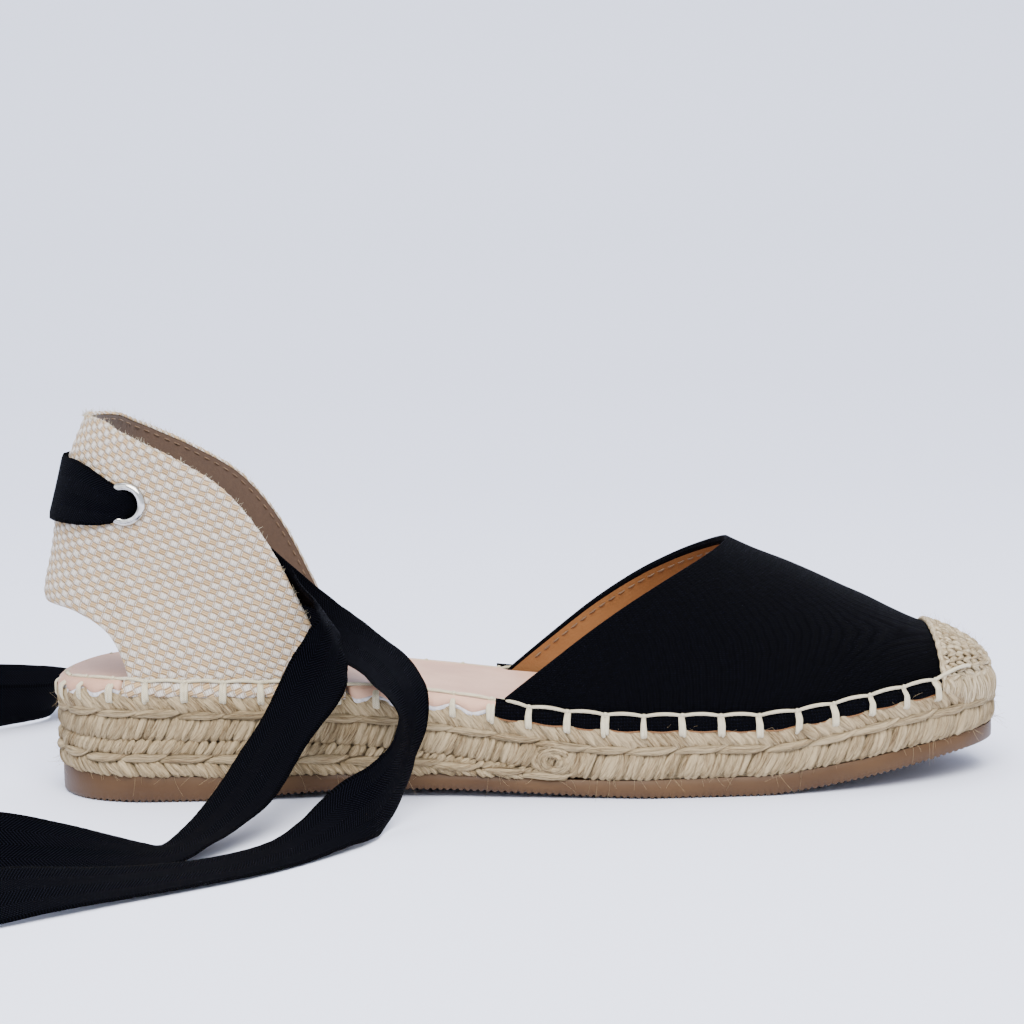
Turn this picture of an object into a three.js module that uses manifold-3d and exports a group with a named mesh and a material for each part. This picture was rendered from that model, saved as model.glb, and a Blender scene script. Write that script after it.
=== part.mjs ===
// A right ankle-tie espadrille, standing empty on its sole.
// Millimetres, +X towards the toe, +Y towards the inner (big toe) side, +Z up.
// Lengths along the shoe, called x, are measured from the back of the heel. The whole shoe is then
// moved by origin, which puts the middle of its outline, without the loose ties, at 0, 0.
import * as THREE from "three";
import { mergeVertices } from "three/addons/utils/BufferGeometryUtils.js";
import Module from "manifold-3d";

const wasm = await Module();
wasm.setup();

// Driving dimensions.
const shoeLength = 249;
const origin = { x: 123, y: 1.3 };
const heelRound = 27; // length over which the outline rounds in at the heel
const toeRound = 40;
const heelPower = 2.15; // 2 is an ellipse, more is squarer
const toePower = 2.3;
const gap = 0.3; // between pieces that touch
const endFlat = 0.12; // how far inside its tip a loft starts and ends
const insoleThickness = 2;
const upperInset = 1.3; // the upper's outer face, inside the edge of the jute
const wall = 1.8; // cloth and lining together
const toeCap = { top: 231.2, foot: 232.2, proud: 0.6, thickness: 2 };
const throatPeak = 178.4;
const throatSkew = 2.2; // how much further forward the throat's edge runs on the inner side
const counterLength = 77; // from the back to the counter's front corners
const counterBackRound = 24;
const eyeletAt = { run: 21, z: 77.2 };
const eyelet = { bore: 4, tube: 4.5, flange: 5.75, flangeThickness: 0.6 };
const ribbon = { width: 16, thickness: 0.8, clear: 0.35 };

// The sole along its length: height of the underside, thickness of rubber, heel wedge and top braid,
// and the outline's half-widths on the outer and inner side before its ends are rounded.
const soleStations = [
  { x: 0, underside: 0.7, rubber: 7, wedge: 9.2, braid: 11.4, outer: 27.5, inner: 27.5 },
  { x: 12, underside: 0, rubber: 7.1, wedge: 9.2, braid: 13.4, outer: 28.6, inner: 28.4 },
  { x: 44, underside: 0, rubber: 6.4, wedge: 9.2, braid: 13.5, outer: 29.2, inner: 28.6 },
  { x: 62, underside: 1.2, rubber: 5.1, wedge: 8.6, braid: 13.6, outer: 28.6, inner: 27.4 },
  { x: 80, underside: 2, rubber: 4.4, wedge: 7.2, braid: 13.7, outer: 28.3, inner: 26.6 },
  { x: 100, underside: 1.9, rubber: 4.2, wedge: 5.2, braid: 13.8, outer: 29.6, inner: 27 },
  { x: 120, underside: 1.3, rubber: 4.1, wedge: 3, braid: 13.9, outer: 32.8, inner: 29.4 },
  { x: 142, underside: 0.4, rubber: 4.4, wedge: 0.9, braid: 14.2, outer: 36, inner: 34 },
  { x: 158, underside: 0, rubber: 4.9, wedge: 0, braid: 14.5, outer: 38, inner: 37 },
  { x: 184, underside: 0, rubber: 5.2, wedge: 0, braid: 13.7, outer: 38.2, inner: 39 },
  { x: 196, underside: 1, rubber: 5.3, wedge: 0, braid: 13.7, outer: 37, inner: 38.6 },
  { x: 208, underside: 2.6, rubber: 5.2, wedge: 0, braid: 14, outer: 34.8, inner: 37.6 },
  { x: 220, underside: 4.5, rubber: 5, wedge: 0, braid: 14.2, outer: 32, inner: 36 },
  { x: 232, underside: 6.5, rubber: 4.6, wedge: 0, braid: 14, outer: 29.4, inner: 34 },
  { x: 242, underside: 8, rubber: 4.2, wedge: 0, braid: 13.3, outer: 27.4, inner: 31.6 },
  { x: 249, underside: 8.9, rubber: 3.8, wedge: 0, braid: 12.8, outer: 26, inner: 30 },
];
const wedgeEnd = 134; // where the wedge has thinned to nothing

// How far inside the edge of the jute the insole stops: further where a wall of the upper stands.
const insoleInsets = [
  { x: 0, inset: 1.2 },
  { x: 15, inset: 1.2 },
  { x: 19.5, inset: 4.8 },
  { x: 79, inset: 4.8 },
  { x: 85, inset: 1.2 },
  { x: 109, inset: 1.2 },
  { x: 115, inset: 4.8 },
  { x: 216, inset: 4.8 },
  { x: 226, inset: 6.8 },
  { x: 249, inset: 6.8 },
];

// Top of the vamp's form above the jute. Behind the throat's peak it is the instep that would go on.
// arch is the power of its cross-section, from peaked at the instep to broad at the toe.
const ridgeStations = [
  { x: 110, height: 66, arch: 1.95 },
  { x: 142, height: 59.5, arch: 1.95 },
  { x: 165, height: 50, arch: 1.9 },
  { x: 178.4, height: 43.9, arch: 1.85 },
  { x: 197, height: 34.4, arch: 1.9 },
  { x: 213, height: 24.4, arch: 2 },
  { x: 231, height: 13.8, arch: 2.1 },
  { x: 238, height: 12.6, arch: 2.15 },
  { x: 249, height: 11.6, arch: 2.2 },
];
const sidePower = 2.1;
const toeBoxRound = 24; // length over which the vamp's height rounds down at the toe

// The edge of the throat, seen from the side.
const throatLine = [
  { x: 105, z: 13.5 },
  { x: 117.2, z: 24.3 },
  { x: 128.3, z: 33.2 },
  { x: 142.6, z: 44 },
  { x: 154.5, z: 51.6 },
  { x: 165.6, z: 57.4 },
  { x: 172, z: 60.3 },
  { x: 181, z: 64.2 },
];

// The heel counter. run is the distance forward from its own back line.
const counterTop = [
  { run: 0, z: 98.6 },
  { run: 6, z: 97.8 },
  { run: 12.8, z: 95.6 },
  { run: 22.2, z: 92.9 },
  { run: 31.6, z: 89.5 },
  { run: 39.6, z: 85.4 },
  { run: 46.2, z: 81 },
  { run: 51.6, z: 75.6 },
  { run: 59.6, z: 64.3 },
  { run: 66.5, z: 50.6 },
  { run: 71.4, z: 40.2 },
  { run: 77, z: 30.2 },
];
const counterCut = [
  { run: 0, z: 51.2 },
  { run: 7, z: 50.4 },
  { run: 13, z: 48 },
  { run: 17.5, z: 44.4 },
  { run: 20, z: 39.6 },
  { run: 21.3, z: 34 },
  { run: 22, z: 25 },
];
const counterBack = [
  { z: 28, lean: 2 },
  { z: 40, lean: -1.5 },
  { z: 52, lean: -2.9 },
  { z: 64, lean: -0.6 },
  { z: 80, lean: 2.1 },
  { z: 90, lean: 5.5 },
  { z: 98, lean: 9 },
];
const counterSpread = [
  { run: 0, half: 20.5 },
  { run: 12, half: 22 },
  { run: 21, half: 23 },
  { run: 38, half: 25 },
  { run: 50, half: 27 },
  { run: 60, half: 28 },
  { run: 77, half: 26.8 },
];
const leanFade = 40; // the back's lean dies out this far forward
const spreadHeight = 30; // height over which the sides spread to their full width

// The ribbon behind the heel: its middle and how far it is gathered towards the eyelets.
const backBand = [
  { run: 0, z: 80.6, width: 17.4 },
  { run: 5, z: 80, width: 17 },
  { run: 10, z: 78.8, width: 15.2 },
  { run: 14.2, z: 77.8, width: 12 },
];

// The ties' routes. lean turns the ribbon from flat at 0 to standing on its edge at 90.
const outerTie = [
  { x: 24.5, y: -17.2, z: 75.4, lean: 90 },
  { x: 33, y: -19.2, z: 70.6, lean: 90 },
  { x: 42, y: -20.8, z: 65.2, lean: 88 },
  { x: 50.6, y: -21.6, z: 60.6, lean: 82 },
  { x: 58, y: -22, z: 57.6, lean: 66 },
  { x: 64.4, y: -23.6, z: 55.2, lean: 48 },
  { x: 69.6, y: -27, z: 51.8, lean: 38 },
  { x: 73.6, y: -31, z: 47.6, lean: 48 },
  { x: 74.8, y: -35.4, z: 43.4, lean: 68 },
  { x: 73.6, y: -39.6, z: 39, lean: 66 },
  { x: 71, y: -43.4, z: 33.8, lean: 46 },
  { x: 67, y: -48.4, z: 27.4, lean: 22 },
  { x: 61, y: -56.4, z: 18.8, lean: 10 },
  { x: 54.8, y: -69.4, z: 10.2, lean: 7 },
  { x: 48.8, y: -81.8, z: 5.4, lean: -3 },
  { x: 43, y: -92, z: 2.6, lean: -7 },
  { x: 37, y: -99, z: 2.2, lean: 9 },
  { x: 27.3, y: -104.8, z: 4, lean: 22 },
  { x: 14.6, y: -108.4, z: 6, lean: 41 },
  { x: 0.6, y: -110, z: 7.6, lean: 62 },
  { x: -18, y: -109, z: 8.3, lean: 76 },
  { x: -40, y: -102.4, z: 8.4, lean: 82 },
  { x: -64, y: -86, z: 8.4, lean: 84 },
  { x: -81, y: -54, z: 8.4, lean: 84 },
  { x: -85, y: -14, z: 8.4, lean: 84 },
  { x: -82, y: 24, z: 8.4, lean: 84 },
  { x: -64, y: 56, z: 8.4, lean: 82 },
  { x: -44, y: 73, z: 8.2, lean: 74 },
  { x: -28, y: 85, z: 7.4, lean: 58 },
  { x: -17, y: 97, z: 6.8, lean: 50 },
  { x: -15, y: 109, z: 6.8, lean: 50 },
  { x: -24, y: 118, z: 7, lean: 52 },
  { x: -42, y: 120, z: 7.4, lean: 58 },
  { x: -66, y: 116, z: 7.8, lean: 66 },
];
const innerTie = [
  { x: 24.5, y: 17.2, z: 75.4, lean: -90 },
  { x: 33.5, y: 19.2, z: 68.6, lean: -90 },
  { x: 43, y: 20.2, z: 61, lean: -88 },
  { x: 51.2, y: 18, z: 54.4, lean: -83 },
  { x: 58.2, y: 13.4, z: 48.8, lean: -74 },
  { x: 64.2, y: 6.4, z: 44.4, lean: -62 },
  { x: 69.8, y: -1.6, z: 41.2, lean: -48 },
  { x: 75, y: -10.8, z: 39.6, lean: -33 },
  { x: 80.4, y: -19.4, z: 38.2, lean: -16 },
  { x: 85.4, y: -27, z: 36.4, lean: -8 },
  { x: 89.4, y: -35, z: 34, lean: 2 },
  { x: 92.2, y: -42.6, z: 31, lean: 14 },
  { x: 94, y: -49.6, z: 26, lean: 48 },
  { x: 94, y: -56.6, z: 20.4, lean: 84 },
  { x: 91.6, y: -63.6, z: 14.4, lean: 94 },
  { x: 87.2, y: -71.2, z: 9.6, lean: 84 },
  { x: 81.6, y: -79.4, z: 6.6, lean: 48 },
  { x: 75.4, y: -87.6, z: 4, lean: 18 },
  { x: 68.8, y: -96.4, z: 2.3, lean: 8 },
  { x: 61.4, y: -105.8, z: 1.8, lean: 7 },
  { x: 52.2, y: -115.6, z: 1.8, lean: 7 },
  { x: 40.6, y: -125.6, z: 2.4, lean: 11 },
  { x: 28.4, y: -135.8, z: 3.6, lean: 19 },
  { x: 16, y: -147.4, z: 5.3, lean: 31 },
  { x: 1.8, y: -159.4, z: 6.4, lean: 44 },
  { x: -18.6, y: -169, z: 7.7, lean: 58 },
  { x: -41, y: -175.6, z: 7.9, lean: 70 },
  { x: -63, y: -181.4, z: 8, lean: 74 },
  { x: -86, y: -183, z: 8, lean: 75 },
];
const tieSteps = 78;

// A smooth curve through one column of a table, by the column that it runs along. It never
// overshoots a row, and is level between two equal rows.
function through(table, along, column) {
  const rise = (i) =>
    (table[i + 1][column] - table[i][column]) / (table[i + 1][along] - table[i][along]);
  const slope = (i) => {
    if (i === 0) return rise(0);
    if (i === table.length - 1) return rise(i - 1);
    const [a, b] = [rise(i - 1), rise(i)];
    return a * b <= 0 ? 0 : (2 * a * b) / (a + b);
  };
  return (at) => {
    const last = table.length - 2;
    const found = table.findIndex((row) => row[along] > at) - 1;
    const i = found < -1 ? last : Math.min(Math.max(found, 0), last);
    const a = table[i];
    const b = table[i + 1];
    const run = b[along] - a[along];
    const t = THREE.MathUtils.clamp((at - a[along]) / run, 0, 1);
    const t2 = t * t;
    const t3 = t2 * t;
    return (
      (2 * t3 - 3 * t2 + 1) * a[column] +
      (t3 - 2 * t2 + t) * run * slope(i) +
      (3 * t2 - 2 * t3) * b[column] +
      (t3 - t2) * run * slope(i + 1)
    );
  };
}

const ease = THREE.MathUtils.smoothstep;
const lerp = THREE.MathUtils.lerp;
const underside = through(soleStations, "x", "underside");
const rubber = through(soleStations, "x", "rubber");
const wedge = through(soleStations, "x", "wedge");
const braid = through(soleStations, "x", "braid");
const outlineOf = {
  outer: through(soleStations, "x", "outer"),
  inner: through(soleStations, "x", "inner"),
};
const insoleInset = through(insoleInsets, "x", "inset");
const ridge = through(ridgeStations, "x", "height");
const archPower = through(ridgeStations, "x", "arch");
const throatHeight = through(throatLine, "x", "z");
const counterTopAt = through(counterTop, "run", "z");
const counterCutAt = through(counterCut, "run", "z");
const counterLean = through(counterBack, "z", "lean");
const counterHalf = through(counterSpread, "run", "half");

// 0 at the tip of a rounded end, 1 from length inwards.
function endRound(distance, length, power) {
  if (distance >= length) return 1;
  return (1 - (1 - Math.max(distance, 0) / length) ** power) ** (1 / power);
}

// The toe swings a little towards the inner side.
const centreLine = (x) => 3.2 * ease(x, 140, 249);

// Half-width of the sole's outline on one side, drawn in by inset all round.
function halfWidth(x, side, inset) {
  const ends =
    endRound(x - inset, heelRound, heelPower) *
    endRound(shoeLength - inset - x, toeRound, toePower);
  return (outlineOf[side](x) - inset) * ends;
}

const rubberTop = (x) => underside(x) + rubber(x);
const wedgeTop = (x) => rubberTop(x) + Math.max(wedge(x), 0);
const juteTop = (x) => wedgeTop(x) + braid(x);

// A closed mesh from triangles given as points. Points that meet at a tip become one.
function closedMesh(triangles) {
  const snapped = (p) => p.clone().multiplyScalar(500).round().divideScalar(500);
  const kept = triangles
    .map((corners) => corners.map(snapped))
    .filter(([a, b, c]) => !a.equals(b) && !b.equals(c) && !c.equals(a));
  return mergeVertices(new THREE.BufferGeometry().setFromPoints(kept.flat()), 1e-3);
}

function quads(triangles, grid, flip = false) {
  for (let i = 0; i + 1 < grid.length; i++)
    for (let j = 0; j + 1 < grid[i].length; j++) {
      const [a, b, c, d] = [grid[i][j], grid[i + 1][j], grid[i + 1][j + 1], grid[i][j + 1]];
      if (flip) triangles.push([a, b, c], [a, c, d]);
      else triangles.push([a, c, b], [a, d, c]);
    }
}

// Rings of points joined along, with flat ends. Each ring runs anticlockwise seen from the toe.
function loft(rings) {
  const triangles = [];
  quads(
    triangles,
    rings.map((ring) => [...ring, ring[0]]),
  );
  for (const ring of [rings[0].toReversed(), rings.at(-1)]) {
    const middle = ring.reduce((sum, p) => sum.add(p), new THREE.Vector3());
    middle.divideScalar(ring.length);
    ring.forEach((p, i) => triangles.push([middle, p, ring[(i + 1) % ring.length]]));
  }
  return closedMesh(triangles);
}

// The sheet between two grids of points, closed round its four edges.
function shell(outside, inside) {
  const triangles = [];
  quads(triangles, outside);
  quads(triangles, inside, true);
  const rim = (a, b) => quads(triangles, [a, b]);
  rim(inside[0], outside[0]);
  rim(outside.at(-1), inside.at(-1));
  rim(
    outside.map((row) => row[0]),
    inside.map((row) => row[0]),
  );
  rim(
    inside.map((row) => row.at(-1)),
    outside.map((row) => row.at(-1)),
  );
  return closedMesh(triangles);
}

// Places along the shoe from one tip to the other, closer together near both.
function stations(from, to, count) {
  return Array.from({ length: count + 1 }, (_, i) =>
    lerp(from, to, (1 - Math.cos((Math.PI * i) / count)) / 2),
  );
}

// A layer of the sole. Each level is a height and how far it is drawn in, from the bottom up.
function soleLayer(from, to, count, levels) {
  return loft(
    stations(from, to, count).map((x) => {
      const edge = (side, { z, inset }) => {
        const sign = side === "outer" ? -1 : 1;
        const half = halfWidth(x, side, levels[0].tip) - (inset - levels[0].tip);
        return new THREE.Vector3(x, centreLine(x) + sign * Math.max(half, 0.4), z(x));
      };
      return [
        ...levels.toReversed().map((level) => edge("outer", level)),
        ...levels.map((level) => edge("inner", level)),
      ];
    }),
  );
}

function outsole() {
  const bevel = 1;
  return soleLayer(0.6 + endFlat, shoeLength - 0.6 - endFlat, 54, [
    { z: underside, inset: 0.6 + bevel, tip: 0.6 },
    { z: (x) => underside(x) + bevel, inset: 0.6 },
    { z: rubberTop, inset: 0.6 },
  ]);
}

function juteWedge() {
  const middle = (x) => (rubberTop(x) + wedgeTop(x)) / 2;
  return soleLayer(0.5 + endFlat, wedgeEnd, 36, [
    { z: (x) => rubberTop(x) + gap, inset: 0.9, tip: 0.5 },
    { z: middle, inset: 0.2 },
    { z: (x) => wedgeTop(x) - gap / 2, inset: 0.7 },
  ]);
}

function juteBraid() {
  const part = (share) => (x) => lerp(wedgeTop(x), juteTop(x), share);
  return soleLayer(endFlat, shoeLength - endFlat, 58, [
    { z: (x) => wedgeTop(x) + (x < wedgeEnd ? gap / 2 : gap), inset: 0.6, tip: 0 },
    { z: part(0.35), inset: 0 },
    { z: part(0.75), inset: 0.3 },
    { z: juteTop, inset: 1.2 },
  ]);
}

function insole() {
  const ends = [insoleInset(0), insoleInset(shoeLength)];
  const rows = stations(ends[0] + endFlat, shoeLength - ends[1] - endFlat, 64);
  return loft(
    rows.map((x) => {
      const low = juteTop(x) + gap;
      const across = (side, sign) => centreLine(x) + sign * halfWidth(x, side, insoleInset(x));
      const point = (y, z) => new THREE.Vector3(x, y, z);
      const [outer, inner] = [across("outer", -1), across("inner", 1)];
      return [
        point(outer, low + insoleThickness),
        point(outer, low),
        point(inner, low),
        point(inner, low + insoleThickness),
      ];
    }),
  );
}

// A point of the vamp's form at x. turn goes from 0 at the outer edge over the instep to PI.
function vampForm(x, turn, out) {
  const side = turn < Math.PI / 2 ? "outer" : "inner";
  const sign = side === "outer" ? -1 : 1;
  const inset = upperInset - out;
  const half = halfWidth(x, side, inset);
  const rounded = endRound(shoeLength - inset - x, toeBoxRound, 2);
  const height = (ridge(x) + out) * rounded;
  return new THREE.Vector3(
    x,
    centreLine(x) + sign * half * Math.abs(Math.cos(turn)) ** (2 / archPower(x)),
    juteTop(x) + gap + height * Math.abs(Math.sin(turn)) ** (2 / sidePower),
  );
}

// Where the throat's edge crosses the form at this turn.
function throatAt(turn) {
  let [low, high] = [106, 179];
  for (let i = 0; i < 40; i++) {
    const middle = (low + high) / 2;
    if (vampForm(middle, turn, 0).z > throatHeight(middle)) low = middle;
    else high = middle;
  }
  const inner = Math.max(-Math.cos(turn), 0);
  return Math.min(low + throatSkew * inner, throatPeak);
}

// The vamp's outer face drops under the toe cap, which stands a little proud of it.
const tucked = toeCap.thickness - toeCap.proud + gap;
const toeCapEdge = (turn) => lerp(toeCap.foot, toeCap.top, Math.sin(turn) ** 2);

// Rows over the instep, each a list of places along the shoe with how far out of the form they lie.
function formSheet(rows, placesAt) {
  return Array.from({ length: rows + 1 }, (_, i) => {
    const turn = (Math.PI * i) / rows;
    return placesAt(turn).map(([x, out]) => vampForm(x, turn, out));
  });
}

// Places from one x to the tip, closer together towards it.
function toTip(from, out, count) {
  const tip = shoeLength - upperInset + out;
  return Array.from({ length: count + 1 }, (_, j) => {
    const along = Math.sin((Math.PI / 2) * (j / count)) ** 1.25;
    return [lerp(from, tip, along), out];
  });
}

function vamp() {
  const placesAt = (inwards) => (turn) => {
    const edge = toeCapEdge(turn) - gap;
    const from = throatAt(turn);
    const flush = Array.from({ length: 15 }, (_, j) => [lerp(from, edge, j / 14), -inwards]);
    return [...flush, ...toTip(edge + 0.2, -inwards - tucked, 9)];
  };
  return shell(formSheet(28, placesAt(0)), formSheet(28, placesAt(wall)));
}

function toeCapShell() {
  const placesAt = (out) => (turn) => toTip(toeCapEdge(turn), out, 9);
  return shell(
    formSheet(24, placesAt(toeCap.proud)),
    formSheet(24, placesAt(toeCap.proud - toeCap.thickness)),
  );
}

// The counter is followed by around, from -1 at its outer front corner over the back to 1.
const runAt = (around) => counterLength * Math.abs(around) ** 2.1;
const aroundAt = (run) => (run / counterLength) ** (1 / 2.1);

function counterPoint(around, z, out = 0) {
  const place = (share) => {
    const side = share < 0 ? "outer" : "inner";
    const run = runAt(share);
    const x = run + counterLean(z) * (1 - ease(run, 0, leanFade));
    const foot = outlineOf[side](x) - upperInset;
    const rise = ease(z, juteTop(x), juteTop(x) + spreadHeight);
    const half = lerp(foot, counterHalf(run), rise) * endRound(run, counterBackRound, 2.2);
    return new THREE.Vector3(x, Math.sign(share) * half, z);
  };
  const point = place(around);
  const along = place(around + 1e-3).sub(place(around - 1e-3));
  const outwards = new THREE.Vector3(along.y, -along.x, 0).normalize().negate();
  return point.addScaledVector(outwards, out);
}

// Heights of the counter's lower and upper edge.
function counterSpan(around) {
  const run = runAt(around);
  const floor = juteTop(run) + gap;
  return [Math.max(counterCutAt(run), floor), Math.max(counterTopAt(run), floor + 1.5)];
}

function counterSheet(out) {
  const [columns, rows] = [64, 8];
  return Array.from({ length: columns + 1 }, (_, i) => {
    const around = (2 * i) / columns - 1;
    const [low, high] = counterSpan(around);
    return Array.from({ length: rows + 1 }, (_, j) =>
      counterPoint(around, lerp(low, high, j / rows), out),
    );
  });
}

// Where the eyelet sits on one side, with its z axis pointing outwards.
function eyeletPlace(sign) {
  const around = sign * aroundAt(eyeletAt.run);
  const centre = counterPoint(around, eyeletAt.z, -wall / 2);
  const outwards = counterPoint(around, eyeletAt.z, 1).sub(counterPoint(around, eyeletAt.z, 0));
  return { centre, outwards: outwards.normalize() };
}

function toManifold(geometry) {
  const merged = mergeVertices(
    new THREE.BufferGeometry().setAttribute(
      "position",
      (geometry.index ? geometry.toNonIndexed() : geometry).getAttribute("position"),
    ),
    1e-3,
  );
  return new wasm.Manifold(
    new wasm.Mesh({
      numProp: 3,
      vertProperties: merged.attributes.position.array,
      triVerts: new Uint32Array(merged.index.array),
    }),
  );
}

function fromManifold(solid) {
  const mesh = solid.getMesh();
  return new THREE.BufferGeometry()
    .setAttribute("position", new THREE.BufferAttribute(mesh.vertProperties, 3))
    .setIndex(new THREE.BufferAttribute(mesh.triVerts, 1));
}

function heelCounter() {
  let solid = toManifold(shell(counterSheet(0), counterSheet(-wall)));
  for (const sign of [-1, 1]) {
    const { centre, outwards } = eyeletPlace(sign);
    const drill = new THREE.CylinderGeometry(eyelet.tube + gap, eyelet.tube + gap, 12, 24);
    drill.applyQuaternion(
      new THREE.Quaternion().setFromUnitVectors(new THREE.Vector3(0, 1, 0), outwards),
    );
    drill.translate(centre.x, centre.y, centre.z);
    solid = solid.subtract(toManifold(drill));
  }
  return fromManifold(solid);
}

// A spool: a tube through the wall with a flange on each face.
function eyeletRing() {
  const reach = wall / 2 + gap + 0.35; // the wall curves under the flange
  const end = reach + eyelet.flangeThickness;
  const profile = [
    [eyelet.bore, -end],
    [eyelet.flange, -end],
    [eyelet.flange, -reach],
    [eyelet.tube, -reach],
    [eyelet.tube, reach],
    [eyelet.flange, reach],
    [eyelet.flange, end],
    [eyelet.bore, end],
    [eyelet.bore, -end],
  ];
  return new THREE.LatheGeometry(
    profile.map(([r, along]) => new THREE.Vector2(r, along)),
    28,
  );
}

// The stretch of ribbon outside the counter, from eyelet to eyelet.
function backBandSolid() {
  const middle = through(backBand, "run", "z");
  const width = through(backBand, "run", "width");
  const end = aroundAt(backBand.at(-1).run);
  const sheet = (out) =>
    Array.from({ length: 25 }, (_, i) => {
      const around = end * (i / 12 - 1);
      const run = runAt(around);
      return Array.from({ length: 5 }, (_, j) =>
        counterPoint(around, middle(run) + width(run) * (j / 4 - 0.5), out),
      );
    });
  return shell(sheet(ribbon.clear + ribbon.thickness), sheet(ribbon.clear));
}

// Flat ribbon along a route.
function ribbonSolid(route) {
  const curve = new THREE.CatmullRomCurve3(route.map(({ x, y, z }) => new THREE.Vector3(x, y, z)));
  const leanAt = through(
    route.map(({ lean }, at) => ({ at, lean })),
    "at",
    "lean",
  );
  const up = new THREE.Vector3(0, 0, 1);
  const rings = Array.from({ length: tieSteps + 1 }, (_, i) => {
    const u = i / tieSteps;
    const lean = THREE.MathUtils.degToRad(leanAt(u * (route.length - 1)));
    const tangent = curve.getTangent(u);
    const side = tangent.clone().cross(up).normalize();
    const across = side.clone().multiplyScalar(Math.cos(lean));
    across.addScaledVector(side.clone().cross(tangent), Math.sin(lean));
    const normal = tangent.clone().cross(across);
    return [
      [1, 1],
      [-1, 1],
      [-1, -1],
      [1, -1],
    ].map(([a, b]) =>
      curve
        .getPoint(u)
        .addScaledVector(across, (a * ribbon.width) / 2)
        .addScaledVector(normal, (b * ribbon.thickness) / 2),
    );
  });
  return loft(rings);
}

const colours = {
  rubber: { color: 0x8a6a4c, roughness: 0.55 },
  jute: { color: 0xb9a582, roughness: 0.95 },
  leather: { color: 0xcfa98f, roughness: 0.6 },
  blackLinen: { color: 0x0b0c12, roughness: 0.9 },
  ribbon: { color: 0x101116, roughness: 0.7 },
  canvas: { color: 0xd8cbb4, roughness: 0.9 },
  steel: { color: 0xcfcfcf, roughness: 0.2, metalness: 1 },
};

const shoe = new THREE.Group();
shoe.position.set(-origin.x, -origin.y, 0);

function add(name, geometry, finish) {
  const mesh = new THREE.Mesh(geometry, new THREE.MeshStandardMaterial(colours[finish]));
  mesh.name = name;
  shoe.add(mesh);
  return mesh;
}

add("outsole", outsole(), "rubber");
add("jute_wedge", juteWedge(), "jute");
add("jute_braid", juteBraid(), "jute");
add("insole", insole(), "leather");
add("vamp", vamp(), "blackLinen");
add("toe_cap", toeCapShell(), "jute");
add("heel_counter", heelCounter(), "canvas");
for (const [name, sign] of [
  ["eyelet_outer", -1],
  ["eyelet_inner", 1],
]) {
  const ring = add(name, eyeletRing(), "steel");
  const { centre, outwards } = eyeletPlace(sign);
  ring.position.copy(centre);
  ring.quaternion.setFromUnitVectors(new THREE.Vector3(0, 1, 0), outwards);
}

add("tie_back_band", backBandSolid(), "ribbon");
add("tie_outer", ribbonSolid(outerTie), "ribbon");
add("tie_inner", ribbonSolid(innerTie), "ribbon");

export default shoe;
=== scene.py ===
import math

import bpy
import numpy as np
from mathutils import Matrix, Vector


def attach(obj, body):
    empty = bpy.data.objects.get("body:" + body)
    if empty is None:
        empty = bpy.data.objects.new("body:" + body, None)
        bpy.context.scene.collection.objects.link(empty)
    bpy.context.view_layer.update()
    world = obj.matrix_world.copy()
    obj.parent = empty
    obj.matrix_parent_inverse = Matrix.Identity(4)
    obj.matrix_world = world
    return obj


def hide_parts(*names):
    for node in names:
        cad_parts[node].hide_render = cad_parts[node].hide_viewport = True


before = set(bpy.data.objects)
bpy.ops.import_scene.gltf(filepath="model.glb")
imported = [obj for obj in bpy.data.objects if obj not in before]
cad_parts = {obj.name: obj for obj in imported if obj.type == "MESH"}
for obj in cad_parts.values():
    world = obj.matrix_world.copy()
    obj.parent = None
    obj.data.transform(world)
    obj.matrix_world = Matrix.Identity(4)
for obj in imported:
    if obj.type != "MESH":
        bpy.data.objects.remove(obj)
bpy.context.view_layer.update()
chance = np.random.default_rng(7)

# Everything is worked out in millimetres from the back of the heel, as the part's source does,
# and moved by origin when it becomes a mesh.
origin = np.array([123.0, 1.3, 0.0])
shoeLength = 249.0
heelRound, heelPower = 27.0, 2.15
toeRound, toePower = 40.0, 2.3
gap = 0.3
upperInset = 1.3
wall = 1.8

soleColumns = ["x", "underside", "rubber", "wedge", "braid", "outer", "inner"]
soleStations = [
    (0, 0.7, 7, 9.2, 11.4, 27.5, 27.5),
    (12, 0, 7.1, 9.2, 13.4, 28.6, 28.4),
    (44, 0, 6.4, 9.2, 13.5, 29.2, 28.6),
    (62, 1.2, 5.1, 8.6, 13.6, 28.6, 27.4),
    (80, 2, 4.4, 7.2, 13.7, 28.3, 26.6),
    (100, 1.9, 4.2, 5.2, 13.8, 29.6, 27),
    (120, 1.3, 4.1, 3, 13.9, 32.8, 29.4),
    (142, 0.4, 4.4, 0.9, 14.2, 36, 34),
    (158, 0, 4.9, 0, 14.5, 38, 37),
    (184, 0, 5.2, 0, 13.7, 38.2, 39),
    (196, 1, 5.3, 0, 13.7, 37, 38.6),
    (208, 2.6, 5.2, 0, 14, 34.8, 37.6),
    (220, 4.5, 5, 0, 14.2, 32, 36),
    (232, 6.5, 4.6, 0, 14, 29.4, 34),
    (242, 8, 4.2, 0, 13.3, 27.4, 31.6),
    (249, 8.9, 3.8, 0, 12.8, 26, 30),
]
wedgeEnd = 134.0


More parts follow.
